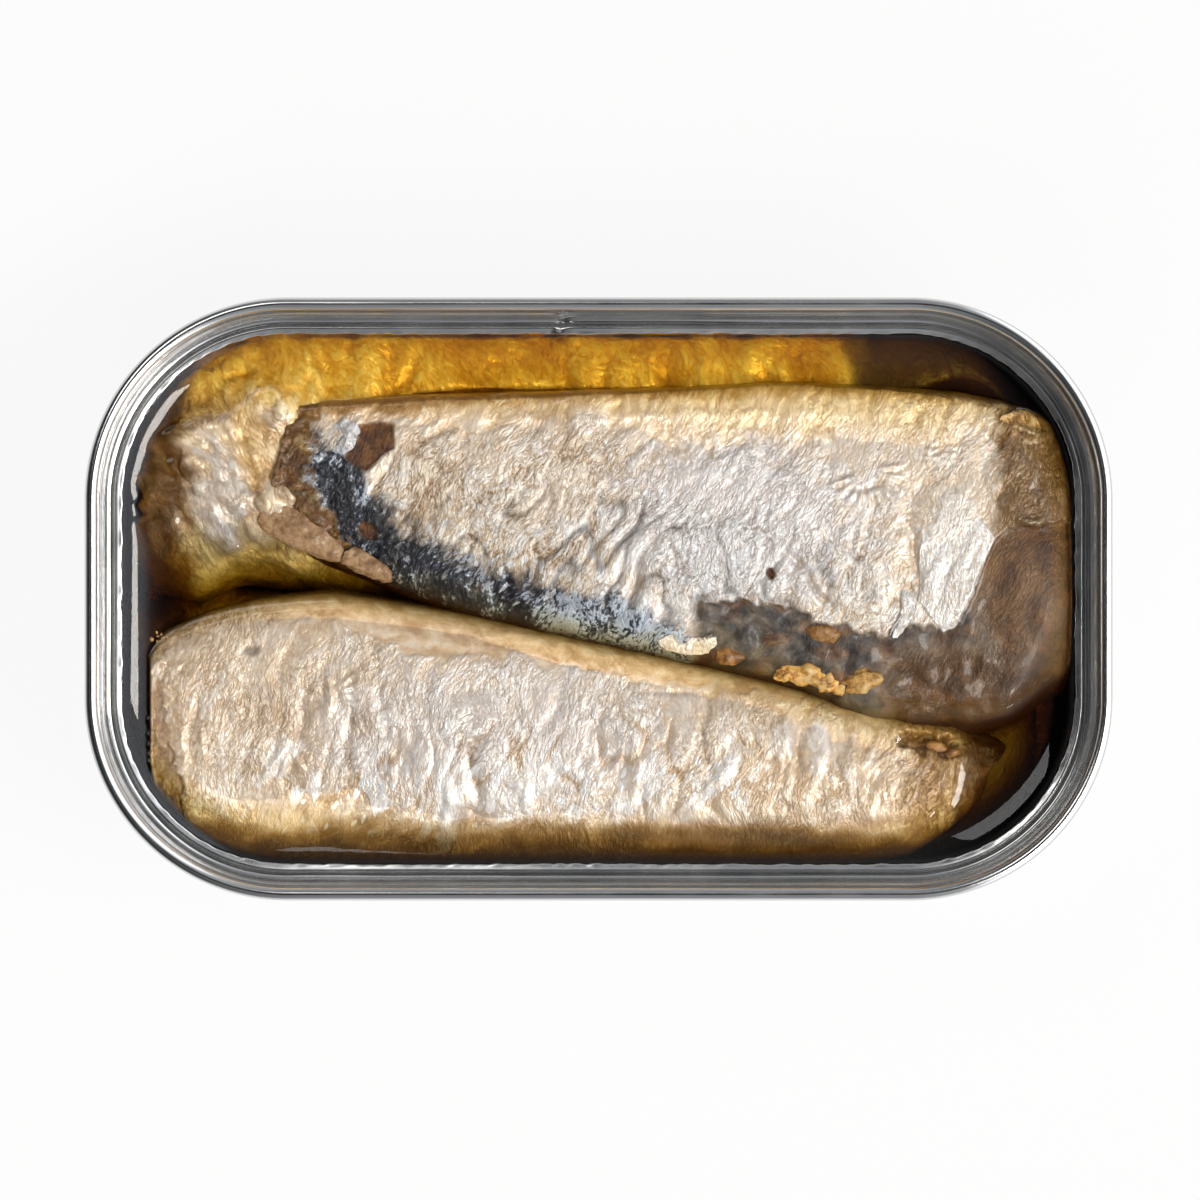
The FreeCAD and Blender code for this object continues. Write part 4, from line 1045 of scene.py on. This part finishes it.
# %% Lower fish: relief and finish
dressed = [front, back_fish]
for node, name, lean, seed in (("fish_under_back", "lower_back_fish", 32, 300),
                               ("fish_under_front", "lower_front_fish", -10, 400)):
    fish, spots, flat, loose, creases = lower_fish(node, name, seed)
    x, y, z = spots.T
    height, grain = puckers(spots, lean, seed)
    at_back = soft((y - 17.5 + 0.15 * (x + 30) + rough(flat / 4, 2, seed + 12)) / 4)
    shaded = soft((9.5 - y + 2 * rough(flat / 4, 2, seed + 11)) / 4) * soft((-10 - x) / 5)
    far = soft((x - 24.5 + 2.0 * rough(flat / 3, 2, seed + 13)) / 4)
    rim_side = soft((-41.0 - x + 1.3 * rough(flat / 3, 3, seed + 19)) / 3)
    height = (0.8 * height + 0.3 * rough(flat / 4, 2, seed + 14)) * (1 - 0.8 * far)
    left = soft((-26 - x) / 6)
    height *= (1 - 0.7 * loose) * (1 + 0.8 * at_back) * (1 + 0.6 * left)
    bent = spots + 0.7 * noise(flat / 2, seed + 22)[:, None]
    for start, end, width, rise in (
            ((-43.5, 16.0), (-38.0, 6.4), 0.60, 0.60), ((-42.0, 18.0), (-36.0, 8.0), 0.45, 0.45),
            ((-39.5, 18.0), (-38.5, 9.0), 0.40, 0.45), ((-44.6, 12.0), (-40.8, 4.0), 0.45, -0.45),
            ((-37.0, 17.8), (-34.6, 9.0), 0.50, -0.45), ((-36.0, 4.6), (-28.0, 2.6), 0.50, 0.50),
            ((-40.0, 3.4), (-31.0, 1.0), 0.45, 0.45), ((-34.0, 23.0), (-31.6, 17.6), 0.60, 0.50),
            ((-38.4, 22.4), (-36.4, 18.0), 0.50, 0.45), ((-30.0, 24.5), (-27.6, 20.6), 0.55, 0.45)):
        height += fold(bent, start, end, width, rise)
    patchy = soft(0.5 + 1.5 * noise(flat / 1.6, seed + 21))
    # Painted shade: the shaded lower left, the far right, the side by the wall and the creases of the
    # loose skin are painted darker.
    sculpt(fish, height, grain / 1.5, calm=0.1 + 0.3 * at_back + 0.2 * loose, gold=at_back,
           cool=0.35 * loose + 0.8 * shaded, tan=0.6 - 0.4 * loose - 0.2 * shaded + far + rim_side,
           bare=0.85 * far + 0.8 * rim_side,
           grey=most(0.4 * shaded * patchy, loose * np.clip(-0.5 * creases, 0, 0.7)),
           deep=0.25 * shaded + 0.12 * loose + 0.9 * far + 0.4 * rim_side)
    hand_in(fish, pearl_skin, "fish_skin", node)
    dressed.append(fish)

# %% [markdown]
# ## Flakes of flesh
# Two flakes of boiled flesh lie in the gap between the fish. Flesh is dull and grainy, so it is
# remeshed finely and given a fibrous relief. Its material serves the lumps further down too.

# %% Flesh
def fish_flesh(name, *tones):
    """Moist cooked flesh: matt, with fine fibres and a thin film of oil."""
    material, tree = new_material(name)
    place = add(tree, "TexCoord").outputs["Object"]
    clouds = add(tree, "TexNoise", place, Scale=900.0, Detail=4.0)
    grit = add(tree, "TexNoise", place, Scale=4200.0, Detail=2.0)
    mixed = add(tree, "Math MULTIPLY_ADD", grit, 0.3, add(tree, "Math MULTIPLY", clouds, 0.7))
    shades = add(tree, "ValToRGB", mixed, stops=zip(np.linspace(0.40, 0.60, len(tones)), tones))
    relief = add(tree, "Bump", Strength=0.5, Distance=0.0001, Height=mixed)
    meat = add(tree, "BsdfPrincipled", shades, Roughness=0.5, Coat_Weight=0.35,
               Coat_Roughness=0.2, Coat_IOR=1.47, Normal=relief)
    add(tree, "OutputMaterial", meat)
    print(f"{name}: {len(tones)} tones")
    return material


flake_flesh = fish_flesh("cooked_flesh_flake", "#86623E", "#A07C56", "#B8946C")

# %% Two flakes
ALONG = np.array((math.cos(math.radians(-31)), math.sin(math.radians(-31))))
for node, name, bump, stretch, shift, seed in (
        ("flesh_flake_large", "large_flake", 0.16, 0.93, (-0.3, 0.9), 500),
        ("flesh_flake_small", "small_flake", 0.20, 1.25, (0.0, 1.0), 520)):
    flake = merged_copy(node, name)
    shape(flake, "REMESH", mode="VOXEL", voxel_size=0.1 * MM)
    shape(flake, "SMOOTH", factor=0.5, iterations=12)
    spots = spots_of(flake)
    away = spots[:, :2] - spots[:, :2].mean(axis=0)
    narrow = 0.36 + 0.2 * (away @ ALONG) / np.ptp(away @ ALONG)
    spots[:, :2] -= narrow[:, None] * (away - (away @ ALONG)[:, None] * ALONG)
    spots[:, :2] += (stretch - 1) * (away @ ALONG)[:, None] * ALONG + shift
    bumps = bump * rough(spots / 1.5, 3, seed)
    set_spots(flake, spots + facing_of(flake) * bumps[:, None])
    hand_in(flake, flake_flesh, "fish_flesh", node)

# %% [markdown]
# ## Loose skin, lumps and crumbs
# Where the skin tore, thin leaves of it hang loose, and soft yellow lumps and crumbs of flesh lie
# along the gap. A leaf is a grid whose squares are bent into rings that follow its outline. It is
# dropped onto whatever lies under it, point by point, crumpled a little, and made solid.

# %% Heights of what lies in the tin
depsgraph = bpy.context.evaluated_depsgraph_get()
trees = [BVHTree.FromObject(fish, depsgraph) for fish in dressed]
DOWN = Vector((0, 0, -1))


def height_at(x, y):
    """Height of the topmost fish at a place seen from above, or of the can's floor."""
    start = Vector((x, y, 40)) * MM
    hits = [tree.ray_cast(start, DOWN)[0] for tree in trees]
    return max([hit.z / MM for hit in hits if hit] + [FLOOR_TOP])


print(f"middle of the tin: {height_at(0, 0):.1f} mm above the table")


# %% Leaves of skin
def leaf(name, root, lift, waves, turn, seed, *outline, **fields):
    """A thin crumpled leaf of skin that grows out of the fish round its root, x, y and a radius.
    Its waves run across the direction turn. The points of its outline come last."""
    piece = grid(name, 70)
    spots = spots_of(piece)
    middle = np.mean(outline, axis=0)
    out = np.max(np.abs(spots[:, :2]), axis=1)
    ring = np.where(out[:, None] > 0, spots[:, :2], (1, 0))
    reach = reach_of(ring + middle, np.array(outline))
    spots[:, :2] = middle + ring / np.maximum(reach, 1e-9)[:, None] * out[:, None]
    spots[:, :2] += 0.14 * out[:, None] ** 4 * np.column_stack(
        [rough(spots / 0.9, 2, seed), rough(spots / 0.9, 2, seed + 1)])
    ground = np.array([height_at(*spot) for spot in spots[:, :2]])
    along, across = turned(spots, turn)
    pleats = crest_line(noise(np.column_stack([along / 1.5, across / 6, 0 * along]), seed + 2))
    crumple = crest_line(noise(np.column_stack([along / 0.7, across / 1.6, 0 * along]), seed + 3))
    rooted = soft(1.3 - np.hypot(spots[:, 0] - root[0], spots[:, 1] - root[1]) / root[2])
    height = waves * (pleats + 0.35 * crumple)
    spots[:, 2] = ground + lift * (1 - 3.2 * rooted) + height * (1 - 0.7 * rooted)
    set_spots(piece, spots)
    shape(piece, "SMOOTH", factor=0.5, iterations=2)
    shape(piece, "SOLIDIFY", thickness=0.14 * MM, offset=-1.0)
    spots = spots_of(piece)
    fields["crest"] = 0.6
    note(piece, grain=spots, **{key: np.full(len(spots), value) for key, value in fields.items()})
    hand_in(piece, pearl_skin, "fish_skin")


leaf("hanging_leaf", (35.6, 9.5, 4.2), 0.16, 0.12, -12, 600, (33.5, 9.7), (36, 10.3), (38.4, 9.6),
     (40.7, 6.4), (39.4, 3.0), (38.2, -0.4), (36.6, -3.0), (35.4, -3.5), (33.9, -1.6),
     (32.9, -0.2), (33.0, 4.5), white=0.6, tan=0.05)
leaf("silver_leaf", (-27.0, 17.0, 0.8), 0.12, 0.20, 20, 610, (-27.6, 17.6), (-26.4, 18.5),
     (-24.8, 18.2), (-24.5, 17.2), (-25.2, 15.5), (-26.2, 14.8), (-26.8, 16.0), cool=1.0, back=0.3)
leaf("edge_leaf", (8.6, -3.6, 1.2), 0.16, 0.16, 70, 620, (5.9, -4.3), (7.5, -3.6), (9.6, -3.9),
     (11.2, -4.1), (12.0, -3.4), (12.3, -4.7), (11.2, -5.6), (9.0, -5.7), (6.9, -5.2),
     cool=0.5, white=0.15)
leaf("tongue_leaf", (31.9, 2.2, 1.6), 0.25, 0.10, 0, 630, (31.2, 2.2), (32.2, 2.0), (32.6, -0.3),
     (32.0, -2.4), (30.6, -4.1), (29.7, -4.1), (30.7, -2.6), (31.2, -0.8), cool=0.5, white=0.6)
leaf("corner_leaf", (41.0, 17.2, 1.5), 0.30, 0.22, 30, 640, (40.4, 17.0), (41.4, 18.7),
     (43.2, 19.6), (44.8, 19.0), (45.6, 17.6), (44.6, 16.9), (43.4, 17.3), (41.8, 16.6), tan=1.0)


# %% Soft lumps and crumbs
def lump(name, finish, bump, seed, *places):
    """Small rounded pieces, half sunk into what lies under them, as one piece. A place is x, y,
    the three half sizes and a turn in degrees."""
    parts = []
    for x, y, long, wide, high, turn in places:
        bpy.ops.mesh.primitive_ico_sphere_add(subdivisions=5 if long > 1 else 3, radius=MM)
        part = bpy.context.active_object
        spots = spots_of(part) * (long, wide, high)
        spots *= 1 + bump * rough(spots / max(1.2, long) * 1.6 + x, 2, seed)[:, None]
        cos, sin = math.cos(math.radians(turn)), math.sin(math.radians(turn))
        spots[:, :2] = spots[:, :2] @ ((cos, sin), (-sin, cos))
        set_spots(part, spots + (x, y, max(height_at(x, y), OIL_TOP - 0.2) - 0.25 * high))
        parts.append(part)
    for part in parts:
        part.select_set(True)
    bpy.context.view_layer.objects.active = parts[0]
    bpy.ops.object.join()
    piece = bpy.context.active_object
    piece.name = piece.data.name = name
    piece.location = (0, 0, 0)
    hand_in(piece, finish, "fish_flesh")


roe = fish_flesh("soft_yellow_fat", "#8F6024", "#C99A50", "#DDB878")
lump("yellow_lumps", roe, 0.34, 660, (21.6, -7.8, 2.6, 1.2, 1.0, -14),
     (27.0, -8.4, 2.0, 1.3, 1.0, 8), (19.4, -7.6, 1.2, 0.8, 0.7, 20),
     (23.6, -8.6, 1.3, 0.9, 0.8, 0), (24.9, -9.2, 0.9, 0.6, 0.6, 40))
orange_flesh = fish_flesh("dark_orange_flesh", "#6A4520", "#8E6232", "#A97F4A")
lump("orange_lumps", orange_flesh, 0.2, 670, (13.5, -5.9, 1.5, 0.9, 0.7, -8),
     (23.4, -3.5, 1.8, 1.0, 0.7, -10), (34.8, -15.2, 1.1, 0.55, 0.5, -12),
     (36.4, -15.8, 0.8, 0.5, 0.5, 10))
crumbs = []
for _ in range(8):
    size = chance.uniform(0.10, 0.26)
    crumbs.append((-45.4 + 0.5 * chance.normal(), -4.0 + 0.4 * chance.normal(),
                   1.3 * size, size, 0.7 * size, chance.uniform(0, 180)))
lump("flesh_crumbs", flake_flesh, 0.2, 680, *crumbs)

# %% [markdown]
# ## Oil
# The oil fills the can up to a little below the ring. It clings to the torn edge and to the fish,
# so its surface curves up there, and those curves are all that mirrors the lamps. Its colour
# comes from depth alone: pale gold in a thin layer and dark brown where it is deep. That is what
# Volume Absorption does inside a closed shape. So the oil is one closed body that reaches just
# into the metal, with the fish standing in it. Lamps shine straight through its surface, because
# light that a renderer has to bend first would leave the fish grainy.

# %% Outline of the can from above
def ring_place(side, share, inset):
    """Places on the rounded outline at an inset. share runs from -1 to 1 along one of the sides
    0 to 3, from the middle of one corner to the middle of the next."""
    radius = RIM_CORNER - inset
    half = np.where(side % 2 == 0, HALF_WIDTH, HALF_LENGTH) - RIM_CORNER
    reach = np.where(side % 2 == 0, HALF_LENGTH, HALF_WIDTH) - inset
    walked = share * (half + radius * math.pi / 4)
    past = np.maximum(np.abs(walked) - half, 0) / radius
    off = np.sign(walked) * (np.minimum(np.abs(walked), half) + radius * np.sin(past))
    out = reach - radius * (1 - np.cos(past))
    turn = side * math.pi / 2
    return np.column_stack([out * np.cos(turn) - off * np.sin(turn),
                            out * np.sin(turn) + off * np.cos(turn)])


ends = ring_place(np.arange(4), np.zeros(4), 0.0)
print("middles of the four sides:", ends.round(1).tolist())

# %% [markdown]
# The body is a grid with a copy of itself below it. Near the wall its squares follow the outline
# of the can in even rings, so that the curve up to the torn edge comes out smooth. Further in
# they shrink towards the middle.

# %% Body of oil: seen from above
CELLS_ACROSS = 190
OUTER_INSET = WALL_INSET - 0.1
RINGED = 0.3             # share of the grid that follows the wall in even steps
RINGED_WIDTH = 9.0

oil = grid("oil_body", CELLS_ACROSS)
open_all(oil)
bpy.ops.mesh.extrude_region_move(TRANSFORM_OT_translate={"value": (0, 0, -MM)})
bpy.ops.object.mode_set(mode="OBJECT")

a, b, layer = spots_of(oil).T
out = np.maximum(np.maximum(np.abs(a), np.abs(b)), 1e-9)
side = np.select([a >= np.abs(b), b >= np.abs(a), -a >= np.abs(b)], [0, 1, 2], 3)
share = np.select([side == 0, side == 1, side == 2], [b, -a, -b], a) / out
inset = OUTER_INSET + RINGED_WIDTH * np.minimum((1 - out) / RINGED, 1)
plan = ring_place(side, share, inset) * np.minimum(out / (1 - RINGED), 1)[:, None]
print(f"oil: {np.ptp(plan[:, 0]):.1f} x {np.ptp(plan[:, 1]):.1f} mm seen from above")

# %% [markdown]
# Its top lies level and rises where it clings: up to the torn edge, up behind that edge, and up
# to whatever fish stands just below it. Its bottom follows the can's floor, whose corners are
# round and whose middle is raised.

# %% Body of oil: top and bottom
gap = inset - TORN_INSET
cling = 1.5 * np.exp(-np.maximum(gap, 0) / 3.0) + 0.5 * np.exp(-np.maximum(gap, 0) / 0.2)
top = OIL_TOP + cling * soft(1 + gap / 0.25) + 1.7 * (1 - soft(1 + gap / 0.25))
above = layer > -0.5
ground = np.array([height_at(*spot) if is_top else 0 for spot, is_top in zip(plan, above)])
below = np.clip(OIL_TOP - ground, 0, None)
top += 0.35 * np.exp(-below / 0.45) * soft(gap / 2)
corner = np.clip(1 - (inset - WALL_INSET) / 2.6, 0, 1)
bottom = 0.12 + 2.6 * (1 - np.sqrt(1 - corner ** 2))
bottom += 0.8 * soft((inset - 7.2) / 1.4) + 0.45 * soft((inset - 9.9) / 0.1)
set_spots(oil, np.column_stack([plan, np.where(above, top, bottom)]))
open_all(oil)
bpy.ops.mesh.normals_make_consistent(inside=False)
bpy.ops.object.mode_set(mode="OBJECT")
print(f"oil: {bottom.min():.1f} to {top.max():.1f} mm above the table")

# %% Amber oil
amber, tree = new_material("amber_sunflower_oil")
path = add(tree, "LightPath")
glass = add(tree, "BsdfPrincipled", colour("#FFFFFF"), Roughness=0.0, IOR=1.47,
            Transmission_Weight=1.0)
clear = add(tree, "BsdfTransparent")
surface = add(tree, "MixShader", path.outputs["Is Shadow Ray"], glass, clear)
depth = add(tree, "VolumeAbsorption", Color=colour("#F1E148"), Density=320.0)
add(tree, "OutputMaterial", surface, depth)
hand_in(oil, amber, "oil", "oil")
